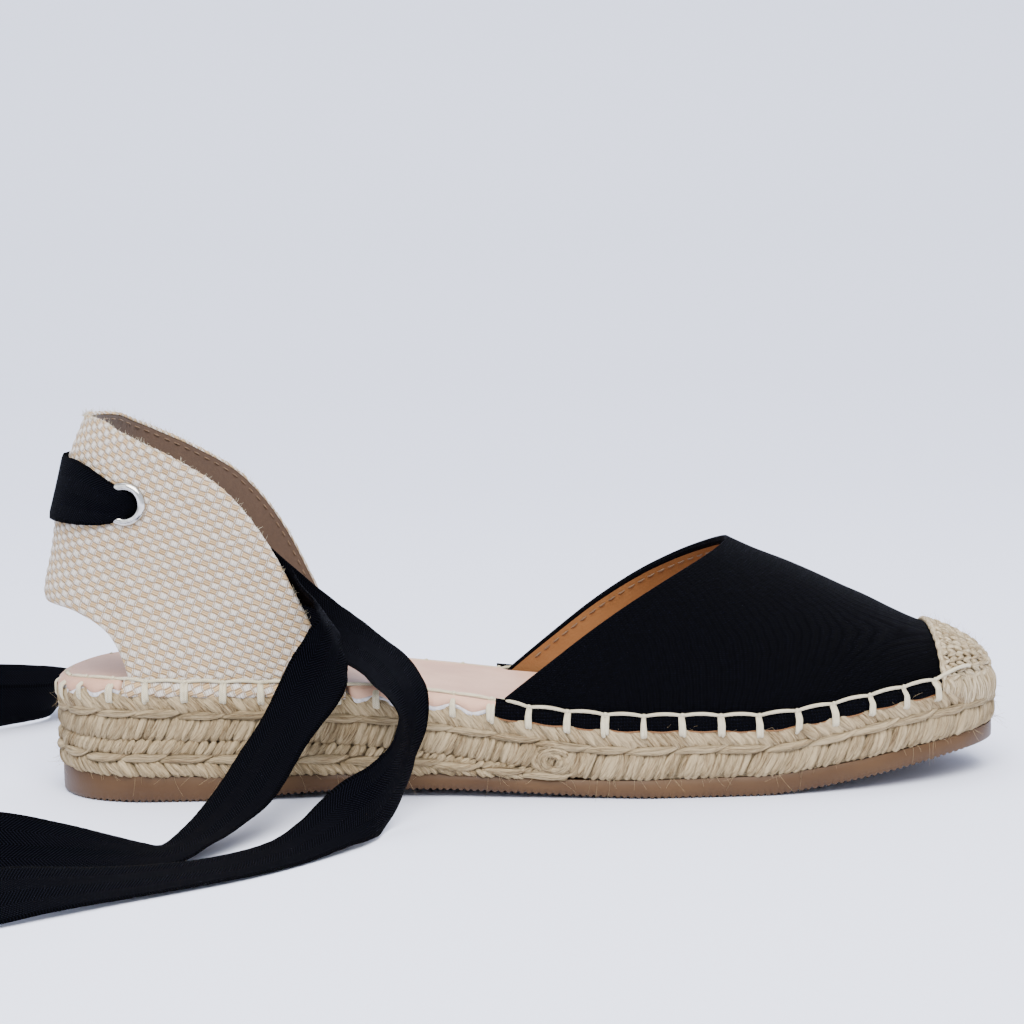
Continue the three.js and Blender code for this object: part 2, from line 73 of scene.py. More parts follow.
# A smooth curve through a table's rows, which never overshoots one.
def through(table, column=1, along=0):
    rows = np.array(table, float)
    at, value = rows[:, along], rows[:, column]
    rise = np.diff(value) / np.diff(at)
    slope = np.concatenate([[rise[0]], np.zeros(len(at) - 2), [rise[-1]]])
    both = rise[:-1] * rise[1:] > 0
    total = np.where(both, rise[:-1] + rise[1:], 1.0)
    slope[1:-1] = np.where(both, 2 * rise[:-1] * rise[1:] / total, 0.0)

    def curve(x):
        x = np.asarray(x, float)
        i = np.clip(np.searchsorted(at, x, side="right") - 1, 0, len(at) - 2)
        run = at[i + 1] - at[i]
        t = np.clip((x - at[i]) / run, 0, 1)
        return (
            (2 * t**3 - 3 * t**2 + 1) * value[i]
            + (t**3 - 2 * t**2 + t) * run * slope[i]
            + (3 * t**2 - 2 * t**3) * value[i + 1]
            + (t**3 - t**2) * run * slope[i + 1]
        )

    return curve


underside, rubber, wedge, braid, outerHalf, innerHalf = [
    through(soleStations, soleColumns.index(name)) for name in soleColumns[1:]
]


def ease(x, low, high):
    t = np.clip((np.asarray(x, float) - low) / (high - low), 0, 1)
    return t * t * (3 - 2 * t)


def lerp(a, b, t):
    return a + (b - a) * t


def unit(v):
    return v / np.maximum(np.linalg.norm(v, axis=-1, keepdims=True), 1e-9)


# Length run at each point of a line.
def runOf(line):
    return np.concatenate([[0], np.cumsum(np.linalg.norm(np.diff(line, axis=0), axis=1))])


# Points of a line at given lengths run.
def alongLine(at, run, line):
    return np.stack([np.interp(at, run, line[:, k]) for k in range(line.shape[1])], -1)


def endRound(distance, length, power):
    inside = 1 - np.clip(distance, 0, length) / length
    return (1 - inside**power) ** (1 / power)


def centreLine(x):
    return 3.2 * ease(x, 140, 249)


def sideHalf(x, inner):
    return np.where(inner, innerHalf(x), outerHalf(x))


def halfWidth(x, inner, inset):
    ends = endRound(x - inset, heelRound, heelPower)
    ends = ends * endRound(shoeLength - inset - x, toeRound, toePower)
    return (sideHalf(x, inner) - inset) * ends


def rubberTop(x):
    return underside(x) + rubber(x)


def wedgeTop(x):
    return rubberTop(x) + np.maximum(wedge(x), 0)


def juteTop(x):
    return wedgeTop(x) + braid(x)


# The sole's outline as one loop: heel, outer side, toe, inner side, heel. A place on it is s,
# the distance round from the back of the heel.
def outlineLoop(step=0.5):
    x = shoeLength * (1 - np.cos(np.linspace(0, np.pi, 1600))) / 2
    outer = np.stack([x, centreLine(x) - halfWidth(x, False, 0)], 1)
    inner = np.stack([x, centreLine(x) + halfWidth(x, True, 0)], 1)[::-1]
    line = np.concatenate([outer, inner[1:]])
    run = runOf(line)
    s = np.linspace(0, run[-1], int(run[-1] / step))
    line = alongLine(s, run, line)
    ahead = np.roll(line[:-1], -4, 0) - np.roll(line[:-1], 4, 0)
    out = unit(np.stack([ahead[:, 1], -ahead[:, 0]], 1))
    return s, line, np.concatenate([out, out[:1]])


loopS, loopLine, loopOut = outlineLoop()
loopLength = loopS[-1]


# The outline's point and its way out, at s.
def onLoop(s):
    s = np.mod(s, loopLength)
    return alongLine(s, loopS, loopLine), unit(alongLine(s, loopS, loopOut))


# Points out from the outline by out, at heights z.
def offLoop(s, out, z):
    line, outwards = onLoop(s)
    flat = line + outwards * np.asarray(out)[..., None]
    return np.concatenate([flat, np.broadcast_to(z, flat.shape[:-1])[..., None]], -1)


def loopX(s):
    return onLoop(s)[0][..., 0]


def outwardAt(s):
    out = onLoop(s)[1]
    return np.concatenate([out, np.zeros(out.shape[:-1] + (1,))], -1)


# Where on the loop the outline passes x, on one side.
def loopAt(x, inner=False):
    half = int(np.argmax(loopLine[:, 0]))
    if inner:
        return np.interp(x, loopLine[half:, 0][::-1], loopS[half:][::-1])
    return np.interp(x, loopLine[: half + 1, 0], loopS[: half + 1])


view = {"lookAt": (121.43, 0.0, 70.69), "tilt": 6, "roll": -1.2, "standOff": 800.0, "lens": 106.03}


def makeCamera():
    tilt, roll = math.radians(view["tilt"]), math.radians(view["roll"])
    back = np.array([0, -math.cos(tilt), math.sin(tilt)])
    right, upwards = np.array([1.0, 0, 0]), np.array([0, math.sin(tilt), math.cos(tilt)])
    turn = np.eye(4)
    turn[:3, 0] = right * math.cos(roll) + upwards * math.sin(roll)
    turn[:3, 1] = upwards * math.cos(roll) - right * math.sin(roll)
    turn[:3, 2] = back
    turn[:3, 3] = (np.array(view["lookAt"]) - origin + back * view["standOff"]) / 1000
    data = bpy.data.cameras.new("camera")
    data.sensor_width = 36
    data.lens = view["lens"]
    data.clip_start, data.clip_end = 0.01, 50
    camera = bpy.data.objects.new("camera", data)
    camera.matrix_world = Matrix(turn.tolist())
    bpy.context.scene.collection.objects.link(camera)
    bpy.context.scene.camera = camera
    print("camera placed")


makeCamera()


# A socket that can be written into sums: each operator adds its Math node.
class Wire:
    def __init__(self, finish, socket):
        self.finish, self.socket = finish, socket

    def sum(self, operation, *values):
        return self.finish.node("ShaderNodeMath", {"operation": operation}, values)

    def __add__(self, other):
        return self.sum("ADD", self, other)

    def __sub__(self, other):
        return self.sum("SUBTRACT", self, other)

    def __rsub__(self, other):
        return self.sum("SUBTRACT", other, self)

    def __mul__(self, other):
        return self.sum("MULTIPLY", self, other)

    def __truediv__(self, other):
        return self.sum("DIVIDE", self, other)

    __radd__, __rmul__ = __add__, __mul__

    def sin(self):
        return self.sum("SINE", self)

    def floor(self):
        return self.sum("FLOOR", self)

    def fraction(self):
        return self.sum("FRACT", self)

    def size(self):
        return self.sum("ABSOLUTE", self)

    def least(self, other):
        return self.sum("MINIMUM", self, other)

    def most(self, other):
        return self.sum("MAXIMUM", self, other)

    def above(self, other):
        return self.sum("GREATER_THAN", self, other)

    def span(self, low, high, toLow=0.0, toHigh=1.0):
        return self.finish.node("ShaderNodeMapRange", {}, (self, low, high, toLow, toHigh))


# One material: fixed values go on its shader, and feed joins up what changes over the surface.
class Finish:
    def __init__(self, name, **fixed):
        self.material = bpy.data.materials.new(name)
        self.material.use_nodes = True
        self.tree = self.material.node_tree
        self.shader = self.tree.nodes["Principled BSDF"]
        for socket, value in fixed.items():
            self.shader.inputs[socket.replace("_", " ")].default_value = value

    # Settings are set first, then the values or links of its sockets.
    def node(self, kind, settings=None, values=(), output=0):
        made = self.tree.nodes.new(kind)
        for key, value in (settings or {}).items():
            if key == "stops":
                ramp = made.color_ramp
                while len(ramp.elements) < len(value):
                    ramp.elements.new(0.5)
                for element, (at, colour) in zip(ramp.elements, value):
                    element.position = at
                    element.color = (*colour, 1)
            else:
                setattr(made, key, value)
        pairs = values.items() if isinstance(values, dict) else enumerate(values)
        for key, value in pairs:
            if isinstance(value, Wire):
                self.tree.links.new(value.socket, made.inputs[key])
            else:
                made.inputs[key].default_value = value
        return Wire(self, made.outputs[output])

    # Millimetres along and across the surface, as the piece was laid out.
    def lay(self):
        flat = self.node("ShaderNodeUVMap", {"uv_map": "lay"})
        return [self.node("ShaderNodeSeparateXYZ", {}, (flat,), output=k) for k in (0, 1)]

    # A random number that each strand carries.
    def tint(self):
        return self.node("ShaderNodeAttribute", {"attribute_name": "tint"}, output=2)

    def vector(self, x, y, z):
        return self.node("ShaderNodeCombineXYZ", {}, (x, y, z))

    def noise(self, vector, scale, detail=2.0, roughness=0.5):
        values = {"Vector": vector, "Scale": scale, "Detail": detail, "Roughness": roughness}
        return self.node("ShaderNodeTexNoise", {}, values)

    def place(self):
        return self.node("ShaderNodeTexCoord", output=3)

    def blend(self, share, a, b):
        values = {0: share, 6: a if isinstance(a, Wire) else (*a, 1)}
        values[7] = b if isinstance(b, Wire) else (*b, 1)
        return self.node("ShaderNodeMix", {"data_type": "RGBA"}, values, output=2)

    def ramp(self, value, stops):
        return self.node("ShaderNodeValToRGB", {"stops": stops}, (value,))

    def bump(self, height, distance, strength=1.0):
        values = {"Height": height, "Distance": distance, "Strength": strength}
        return self.node("ShaderNodeBump", {}, values)

    def feed(self, **wires):
        for socket, wire in wires.items():
            self.tree.links.new(wire.socket, self.shader.inputs[socket.replace("_", " ")])
        return self.material


# Plant fibre: long fine lines down each strand, paler and darker strands, brown flecks.
def juteFinish(name, pale, dark, fleck):
    f = Finish(name, Roughness=0.85)
    along, around = f.lay()
    tint = f.tint()
    lines = f.noise(f.vector(along * 0.22 + around * 0.3, around * 2.9, tint * 90), 1.0, 5, 0.78)
    coarse = f.noise(f.vector(along * 0.1, around * 0.8, tint * 70 + 5), 1.0, 1)
    share = (lines * 1.25 + coarse * 0.35 + tint * 0.2).span(0.62, 1.2)
    colour = f.ramp(share, [(0.0, fleck), (0.25, dark), (0.62, pale), (1.0, [c * 1.15 for c in pale])])
    height = lines * 0.9 + coarse * 0.4
    return f.feed(Base_Color=colour, Normal=f.bump(height, 0.0013))


# Moulded rubber, a little cloudy and finely grained.
def rubberFinish(name):
    f = Finish(name, Roughness=0.5, Specular_IOR_Level=0.3)
    place = f.place()
    cloud = f.noise(place, 60, 3)
    grain = f.noise(place, 1400, 2)
    colour = f.blend(cloud.span(0.3, 0.7), (0.052, 0.023, 0.007), (0.080, 0.039, 0.013))
    rough = cloud.span(0.3, 0.7, 0.42, 0.6)
    return f.feed(Base_Color=colour, Roughness=rough, Normal=f.bump(grain, 0.00008, 0.5))


# Smooth leather, with fine grain cells and cloudy colour.
def leatherFinish(name, pale, dark, grainSize, rough, furrow):
    f = Finish(name, Specular_IOR_Level=0.35)
    place = f.place()
    cloud = f.noise(place, 38, 4, 0.6)
    values = {"Vector": place, "Scale": grainSize}
    cells = f.node("ShaderNodeTexVoronoi", {"feature": "DISTANCE_TO_EDGE"}, values)
    grain = cells.span(0, 0.28) + f.noise(place, grainSize * 1.9, 2) * 0.5
    colour = f.blend(cloud.span(0.32, 0.68), dark, pale)
    roughness = cloud.span(0.3, 0.7, rough - 0.06, rough + 0.06)
    return f.feed(Base_Color=colour, Roughness=roughness, Normal=f.bump(grain, furrow, 0.6))


def suedeFinish(name, pale, dark):
    f = Finish(name, Roughness=0.95, Sheen_Weight=0.3, Sheen_Roughness=0.6)
    place = f.place()
    nap = f.noise(place, 900, 3, 0.7)
    cloud = f.noise(place, 45, 3)
    colour = f.blend((nap * 0.6 + cloud * 0.6).span(0.35, 0.85), dark, pale)
    return f.feed(Base_Color=colour, Normal=f.bump(nap, 0.0002, 0.6))


# Fine plain weave, almost black.
def blackCanvasFinish(name, pitch=0.78):
    f = Finish(name, Roughness=0.95, Specular_IOR_Level=0.05)
    along, around = f.lay()
    wander = f.noise(f.vector(along * 0.12, around * 0.12, 0.0), 1.0, 2)
    a, b = along / pitch + wander * 1.2, around / pitch + wander * 1.2
    cell = (a.floor() + b.floor()) * 0.5
    odd = cell.fraction() * 2
    upA = ((a.fraction() - 0.5) * math.pi).sin().size()
    upB = ((b.fraction() - 0.5) * math.pi).sin().size()
    height = odd * (1 - upA) * (1 - upB * 0.5) + (1 - odd) * (1 - upB) * (1 - upA * 0.5)
    slub = f.noise(f.vector(along * 0.5, around * 2.2, 3.0), 1.0, 2)
    slubAcross = f.noise(f.vector(along * 2.2, around * 0.5, 9.0), 1.0, 2)
    share = (height * 0.55 + slub * 0.4 + slubAcross * 0.4).span(0.35, 1.05)
    shadow, thread, glint = (0.0001, 0.0001, 0.0004), (0.0006, 0.0007, 0.002), (0.0085, 0.009, 0.02)
    colour = f.ramp(share, [(0.0, shadow), (0.5, thread), (1.0, glint)])
    return f.feed(Base_Color=colour, Normal=f.bump(height + slub * 0.5, 0.0004))


# Heavy basket weave: white bundles standing, tan bundles lying between them.
# The cell is in mm, standing is the white bundles' share of it, and white and tan are how proud
# each stands in the mesh.
weave = {"cell": (2.33, 1.5), "turn": math.radians(22.5), "standing": 0.6, "white": 0.4, "tan": 0.12}
whiteThread = (0.40, 0.34, 0.27), (0.66, 0.61, 0.55)
tanThread = (0.31, 0.19, 0.085), (0.56, 0.385, 0.205)
# the colour in the gaps between the bundles: painted shade where the weave sinks
weaveHollowShade = (0.27, 0.175, 0.095)


def naturalCanvasFinish(name):
    f = Finish(name, Roughness=0.9, Sheen_Weight=0.1, Specular_IOR_Level=0.3)
    along, up = f.lay()
    wander = f.noise(f.vector(along * 0.25, up * 0.25, 8.0), 1.0, 1) - 0.5
    c, s = math.cos(weave["turn"]), math.sin(weave["turn"])
    a = (along * c + up * s) / weave["cell"][0] + wander * 0.35
    b = (up * c - along * s) / weave["cell"][1] + wander * 0.5
    share = weave["standing"]
    phase = ((b + a.floor()) * 0.5).fraction()
    standing = 1 - phase.above(share)
    insideB = standing * (phase / share) + (1 - standing) * ((phase - share) / (1 - share))
    threadsUp = (a * 4 * math.pi).sin().size()
    threadsOver = (insideB * 2 * math.pi).sin().size()
    threads = standing * threadsUp + (1 - standing) * threadsOver
    edgeA = 1 - (a.fraction() - 0.5).size() * 2
    edgeB = 1 - (insideB - 0.5).size() * 2
    over = (1 - standing) * (1 - edgeA.above(0.2))  # the white bundles swell over the tan ones
    standing = standing + over
    hollow = edgeA.least(edgeB).span(0.02, 0.42).most(over * 0.8)
    fluff = f.noise(f.vector(along * 2.5, up * 2.5, 1.0), 1.0, 3, 0.7)
    patch = f.noise(f.vector(a.floor() * 3.7, (b + a.floor()).floor() * 5.3, 2.0), 1.0, 0)
    white = f.blend((threads * 0.5 + fluff * 0.6 + patch * 0.2).span(0.3, 1.0), *whiteThread)
    tan = f.blend((threads * 0.4 + fluff * 0.5 + patch * 0.7).span(0.4, 1.2), *tanThread)
    cloth = f.blend(standing, tan, white)
    # the bundles' edges blend to the hollow colour, painted shade in the gaps between bundles
    colour = f.blend(hollow, weaveHollowShade, cloth)
    height = threads * 0.5 + hollow * 0.7 + fluff * 0.35 + standing * 0.3
    return f.feed(Base_Color=colour, Normal=f.bump(height, 0.0003, 0.8))


# Narrow herringbone tape: slanting ribs that turn at each column, and a corded edge.
def tapeFinish(name, width=16.0, column=3.55, rib=0.86, edge=0.9):
    f = Finish(name, Roughness=0.75, Specular_IOR_Level=0.02)
    along, across = f.lay()
    fromEdge = width / 2 - (across - width / 2).size()
    columns = (across - edge) / column
    lean = ((columns * 0.5).fraction() - 0.5).size() * 2 * column
    ribs = ((along + lean * 1.05) / rib).fraction()
    rounded = 1 - (ribs - 0.5).size() * 2
    knots = 1 - ((across / 0.52).fraction() - 0.5).size() * 2
    selvedge = (1 - ((along / 0.8).fraction() - 0.5).size() * 2) * 0.8
    inside = fromEdge.above(edge)
    height = inside * (rounded * 0.8 + knots * 0.3) + (1 - inside) * selvedge
    fuzz = f.noise(f.vector(along * 2.0, across * 2.0, 4.0), 1.0, 2)
    share = (height * 0.95 + fuzz * 0.3).span(0.2, 1.2)
    shadow, thread, glint = (0.0, 0.0, 0.0001), (0.0003, 0.00035, 0.0009), (0.0065, 0.007, 0.0125)
    colour = f.ramp(share, [(0.0, shadow), (0.45, thread), (1.0, glint)])
    return f.feed(Base_Color=colour, Normal=f.bump(height, 0.00045, 0.9))


# Twisted thread: its plies wind round it.
def threadFinish(name, pale, dark):
    f = Finish(name, Roughness=0.7, Sheen_Weight=0.2)
    along, around = f.lay()
    ply = ((along * 1.5 + around * 1.3) * 1.4).fraction()
    twist = 1 - (ply - 0.5).size() * 2
    fine = f.noise(f.vector(along * 0.5, around * 5, f.tint() * 30), 1.0, 2)
    colour = f.blend((twist * 0.35 + fine * 0.8).span(0.2, 0.85), dark, pale)
    return f.feed(Base_Color=colour, Normal=f.bump(twist * 0.5 + fine * 0.5, 0.00022, 0.8))


def metalFinish(name):
    f = Finish(name, Metallic=1.0)
    scuff = f.noise(f.place(), 700, 3)
    colour = f.blend(scuff.span(0.3, 0.8), (0.44, 0.42, 0.385), (0.70, 0.69, 0.66))
    return f.feed(Base_Color=colour, Roughness=scuff.span(0.3, 0.8, 0.08, 0.2))


def feltFinish(name):
    f = Finish(name, Roughness=0.95)
    lint = f.noise(f.place(), 1200, 3)
    colour = f.blend(lint.span(0.3, 0.7), (0.42, 0.40, 0.41), (0.66, 0.63, 0.62))
    return f.feed(Base_Color=colour, Normal=f.bump(lint, 0.0002, 0.6))


def floorFinish(name, colour):
    f = Finish(name, Roughness=0.75, Specular_IOR_Level=0.2)
    cloud = f.noise(f.place(), 1.5, 2)
    tone = f.blend(cloud.span(0.3, 0.7), colour, [min(c * 1.01, 1) for c in colour])
    return f.feed(Base_Color=tone)


jute = juteFinish("braided jute", (0.52, 0.395, 0.225), (0.30, 0.205, 0.098), (0.10, 0.057, 0.021))
# a darker copy of the braided jute: painted shade for the wall behind the braids' strands and the base under
# the crochet
juteShadow = juteFinish("jute in shadow", (0.34, 0.25, 0.13), (0.2, 0.14, 0.065), (0.08, 0.05, 0.022))
crochet = juteFinish("crocheted jute", (0.68, 0.55, 0.36), (0.46, 0.34, 0.19), (0.18, 0.11, 0.05))
soleRubber = rubberFinish("sole rubber")
insoleLeather = leatherFinish("insole leather", (0.60, 0.365, 0.255), (0.46, 0.25, 0.16), 900, 0.55, 0.00006)
vampLeather = leatherFinish(
    "vamp lining leather", (0.215, 0.095, 0.031), (0.16, 0.064, 0.019), 800, 0.5, 0.00006)
counterSuede = suedeFinish("counter lining suede", (0.075, 0.037, 0.017), (0.045, 0.021, 0.009))
blackCanvas = blackCanvasFinish("black canvas")
naturalCanvas = naturalCanvasFinish("natural canvas")
tape = tapeFinish("herringbone tape")
cotton = threadFinish("cotton stitching", (0.66, 0.59, 0.42), (0.34, 0.27, 0.15))
seamThread = threadFinish("seam thread", (0.16, 0.085, 0.035), (0.07, 0.035, 0.014))
chrome = metalFinish("eyelet metal")
felt = feltFinish("insole felt")
print("finishes made")


# Rows of points, gathered into one piece.
class Stock:
    def __init__(self):
        self.points, self.quads, self.laid, self.tints, self.slots = [], [], [], [], []
        self.count = 0

    # points is rows by columns by 3, or a stack of such grids. laid is where each lies on the
    # surface in mm, and slot its finish's number.
    def add(self, points, laid=None, tint=0.5, slot=0, flip=False):
        points = np.asarray(points, float)
        if points.ndim == 3:
            points = points[None]
        many, rows, columns = points.shape[:3]
        index = self.count + np.arange(many * rows * columns).reshape(many, rows, columns)
        a, b = index[:, :-1, :-1], index[:, 1:, :-1]
        c, d = index[:, 1:, 1:], index[:, :-1, 1:]
        order = (a, d, c, b) if flip else (a, b, c, d)
        quads = np.stack(order, -1).reshape(-1, 4)
        if laid is None:
            laid = np.zeros(points.shape[:-1] + (2,))
        laid = np.broadcast_to(laid, points.shape[:-1] + (2,))
        tint = np.broadcast_to(np.reshape(tint, (-1, 1, 1)), points.shape[:-1])
        self.points.append(points.reshape(-1, 3))
        self.laid.append(laid.reshape(-1, 2))
        self.tints.append(tint.reshape(-1))
        self.quads.append(quads)
        self.slots.append(np.full(len(quads), slot))
        self.count += points.size // 3

    def make(self, name, finishes, replaces=(), slot=None):
        points = (np.concatenate(self.points) - origin) / 1000
        quads, laid = np.concatenate(self.quads), np.concatenate(self.laid)
        mesh = bpy.data.meshes.new(name)
        mesh.vertices.add(len(points))
        mesh.vertices.foreach_set("co", points.astype(np.float32).ravel())
        mesh.loops.add(quads.size)
        mesh.loops.foreach_set("vertex_index", quads.astype(np.int32).ravel())
        mesh.polygons.add(len(quads))
        mesh.polygons.foreach_set("loop_start", np.arange(0, quads.size, 4, dtype=np.int32))
        mesh.polygons.foreach_set("material_index", np.concatenate(self.slots).astype(np.int32))
        mesh.update(calc_edges=True)
        mesh.polygons.foreach_set("use_smooth", np.ones(len(quads), bool))
        flat = mesh.uv_layers.new(name="lay").data
        flat.foreach_set("uv", laid[quads.ravel()].astype(np.float32).ravel())
        tints = mesh.attributes.new("tint", "FLOAT", "POINT").data
        tints.foreach_set("value", np.concatenate(self.tints).astype(np.float32))
        for finish in finishes:
            mesh.materials.append(finish)
        made = bpy.data.objects.new(name, mesh)
        bpy.context.scene.collection.objects.link(made)
        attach(made, "root")
        if replaces:
            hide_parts(*replaces)
        print(f"{name}: {2 * len(quads)} triangles")
        return made


# The ways sideways and out along each path, where out is roughly outwards.
def pathSides(paths, out):
    ahead = unit(np.gradient(paths, axis=1))
    aside = unit(np.cross(ahead, out))
    return aside, np.cross(aside, ahead)


# Tubes along paths, oval across: width to each side in the surface, depth out of it.
# paths is count by steps by 3, and out gives the way out of the surface.
def strands(stock, paths, out, width, depth, sides=10):
    aside, rise = pathSides(paths, out)
    turns = -np.pi / 2 + np.linspace(0, 2 * np.pi, sides + 1)
    width = np.broadcast_to(width, paths.shape[:2])[..., None, None]
    depth = np.broadcast_to(depth, paths.shape[:2])[..., None, None]
    ring = aside[:, :, None] * np.cos(turns)[:, None] * width
    ring = ring + rise[:, :, None] * np.sin(turns)[:, None] * depth
    length = np.cumsum(np.linalg.norm(np.diff(paths, axis=1, prepend=paths[:, :1]), axis=-1), 1)
    girth = turns[None, None, :] * (width[..., 0] + depth[..., 0]) / 2
    laid = np.stack([np.broadcast_to(length[:, :, None], girth.shape), girth], -1)
    stock.add(paths[:, :, None] + ring, laid, chance.random(len(paths)), flip=True)


# A smooth line through the rows of a route, and where each point is among the rows.
def smoothRoute(rows, perSpan=12):
    p = np.array(rows, float)[:, :3]
    p = np.concatenate([[2 * p[0] - p[1]], p, [2 * p[-1] - p[-2]]])
    reach = np.linalg.norm(np.diff(p, axis=0), axis=1) ** 0.5  # evens the curve between uneven rows
    made, at = [], []
    for i in range(len(p) - 3):
        a, b, c = reach[i : i + 3]
        p0, p1, p2, p3 = p[i : i + 4]
        t1 = ((p1 - p0) / a - (p2 - p0) / (a + b) + (p2 - p1) / b) * b
        t2 = ((p2 - p1) / b - (p3 - p1) / (b + c) + (p3 - p2) / c) * b
        t = np.linspace(0, 1, perSpan, endpoint=i == len(p) - 4)[:, None]
        h = (2 * t**3 - 3 * t**2 + 1) * p1 + (t**3 - 2 * t**2 + t) * t1
        made.append(h + (3 * t**2 - 2 * t**3) * p2 + (t**3 - t**2) * t2)
        at.append(i + t[:, 0])
    return np.concatenate(made), np.concatenate(at)


ribbon = {"width": 16.0, "thickness": 0.7, "columns": 14, "ripple": 0.12, "toothPitch": 0.8, "throat": 7.6}


# A flat tape swept along a line: across is its width's direction, curl cups it.
def tapeSheet(stock, line, across, width, curl=0.0):
    ahead = unit(np.gradient(line, axis=0))
    across = unit(across - ahead * np.sum(across * ahead, -1, keepdims=True))
    face = np.cross(ahead, across)
    length = runOf(line)
    share = np.linspace(-1, 1, ribbon["columns"] + 1)
    there = np.concatenate([share, share[::-1], share[:1]])
    half = ribbon["thickness"] / 2
    lift = np.concatenate([np.full(len(share), half), np.full(len(share), -half), [half]])
    thin = np.sqrt(np.clip(1 - np.abs(there) ** 16, 0.04, 1))
    teeth = np.sin(2 * np.pi * length / ribbon["toothPitch"])[:, None] * (np.abs(there) > 0.99)
    width = np.broadcast_to(width, length.shape)[:, None]
    curl = np.broadcast_to(curl, length.shape)[:, None]
    offset = lift * thin - curl * there**2
    points = line[:, None] + across[:, None] * (there * width / 2 * (1 + 0.006 * teeth))[..., None]
    points = points + face[:, None] * offset[..., None]
    laid = np.broadcast_arrays(length[:, None], (there + 1) * ribbon["width"] / 2)
    stock.add(points, np.stack(laid, -1))
    return length[-1]


# The heel counter's form, which the band and the stitches follow too. Its height and cut-out go
# by run, the distance forward from the back, and its lean by height.
counterLength, counterBackRound, counterCrowd = 77.0, 24.0, 2.1
counterTopAt = through([
    (0, 98.6), (6, 97.8), (12.8, 95.6), (22.2, 92.9), (31.6, 89.5), (39.6, 85.4),
    (46.2, 81), (51.6, 75.6), (59.6, 64.3), (66.5, 50.6), (71.4, 40.2), (77, 30.2),
])
counterCutAt = through([(0, 51.2), (7, 50.4), (13, 48), (17.5, 44.4), (20, 39.6), (21.3, 34), (22, 25)])
counterLean = through([(28, 2), (40, -1.5), (52, -2.9), (64, -0.6), (80, 2.1), (90, 5.5), (98, 9)])
counterHalf = through([(0, 20.5), (12, 22), (21, 23), (38, 25), (50, 27), (60, 28), (77, 26.8)])


# around is -1 at the outer front edge, 0 at the back and 1 at the inner front edge.
def runAt(around):
    return counterLength * np.abs(around) ** counterCrowd


def aroundAt(run):
    return (run / counterLength) ** (1 / counterCrowd)


# A point of the counter's outside, or out from it.
def counterPoint(around, z, out=0.0):
    around, z, out = np.broadcast_arrays(*[np.asarray(v, float) for v in (around, z, out)])

    def place(share):
        run = runAt(share)
        x = run + counterLean(z) * (1 - ease(run, 0, 40))
        foot = sideHalf(x, share > 0) - upperInset
        rise = ease(z - juteTop(x), 0, 30)
        half = lerp(foot, counterHalf(run), rise) * endRound(run, counterBackRound, 2.2)
        return np.stack([x, np.sign(share) * half, z], -1)

    along = place(around + 1e-3) - place(around - 1e-3)
    outwards = unit(np.stack([-along[..., 1], along[..., 0], np.zeros_like(z)], -1))
    return place(around) + outwards * out[..., None]


# Its lower and upper edge.
def counterSpan(around):
    run = runAt(around)
    floor = juteTop(run) + gap
    return np.maximum(counterCutAt(run), floor), np.maximum(counterTopAt(run), floor + 1.5)


eyeletRun, eyeletZ = 21.0, 77.2


def eyeletPlace(sign):
    around = sign * aroundAt(eyeletRun)
    centre = counterPoint(around, eyeletZ, -wall / 2)
    return centre, unit(counterPoint(around, eyeletZ, 1.0) - counterPoint(around, eyeletZ, 0.0))


# The loose ribbon: where each tie passes, and how far it leans from flat there, in degrees.
outerTie = [
    (24.5, -17.2, 75.4, 90), (33, -19.2, 70.6, 90), (42, -20.8, 65.2, 88), (50.6, -21.6, 60.6, 82),
    (58, -22, 57.6, 66), (64.4, -23.6, 55.2, 48), (69.6, -27, 51.8, 38), (73.6, -31, 47.6, 48),
    (74.8, -35.4, 43.4, 68), (73.6, -39.6, 39, 66), (71, -43.4, 33.8, 46), (67, -48.4, 27.4, 22),
    (61, -56.4, 18.8, 10), (54.8, -69.4, 10.2, 7), (48.8, -81.8, 5.4, -3), (43, -92, 2.6, -7),
    (37, -99, 2.2, 9), (27.3, -104.8, 4, 22), (14.6, -108.4, 6, 41), (0.6, -110, 7.6, 62),
    (-18, -109, 8.3, 76), (-40, -102.4, 8.4, 82), (-64, -86, 8.4, 84), (-81, -54, 8.4, 84),
    (-85, -14, 8.4, 84), (-82, 24, 8.4, 84), (-64, 56, 8.4, 82), (-44, 73, 8.2, 74),
    (-28, 85, 7.4, 58), (-17, 97, 6.8, 50), (-15, 109, 6.8, 50), (-24, 118, 7, 52),
    (-42, 120, 7.4, 58), (-66, 116, 7.8, 66),
]
innerTie = [
    (24.5, 17.2, 75.4, -90), (33.5, 19.2, 68.6, -90), (43, 20.2, 61, -88), (51.2, 18, 54.4, -83),
    (58.2, 13.4, 48.8, -74), (64.2, 6.4, 44.4, -62), (69.8, -1.6, 41.2, -48),
    (75, -10.8, 39.6, -33), (80.4, -19.4, 38.2, -16), (85.4, -27, 36.4, -8), (89.4, -35, 34, 2),
    (92.2, -42.6, 31, 14), (94, -49.6, 26, 48), (94, -56.6, 20.4, 84), (91.6, -63.6, 14.4, 94),
    (87.2, -71.2, 9.6, 84), (81.6, -79.4, 6.6, 48), (75.4, -87.6, 4, 18), (68.8, -96.4, 2.3, 8),
    (61.4, -105.8, 1.8, 7), (52.2, -115.6, 1.8, 7), (40.6, -125.6, 2.4, 11),
    (28.4, -135.8, 3.6, 19), (16, -147.4, 5.3, 31), (1.8, -159.4, 6.4, 44), (-18.6, -169, 7.7, 58),
    (-41, -175.6, 7.9, 70), (-63, -181.4, 8, 74), (-86, -183, 8, 75),
]


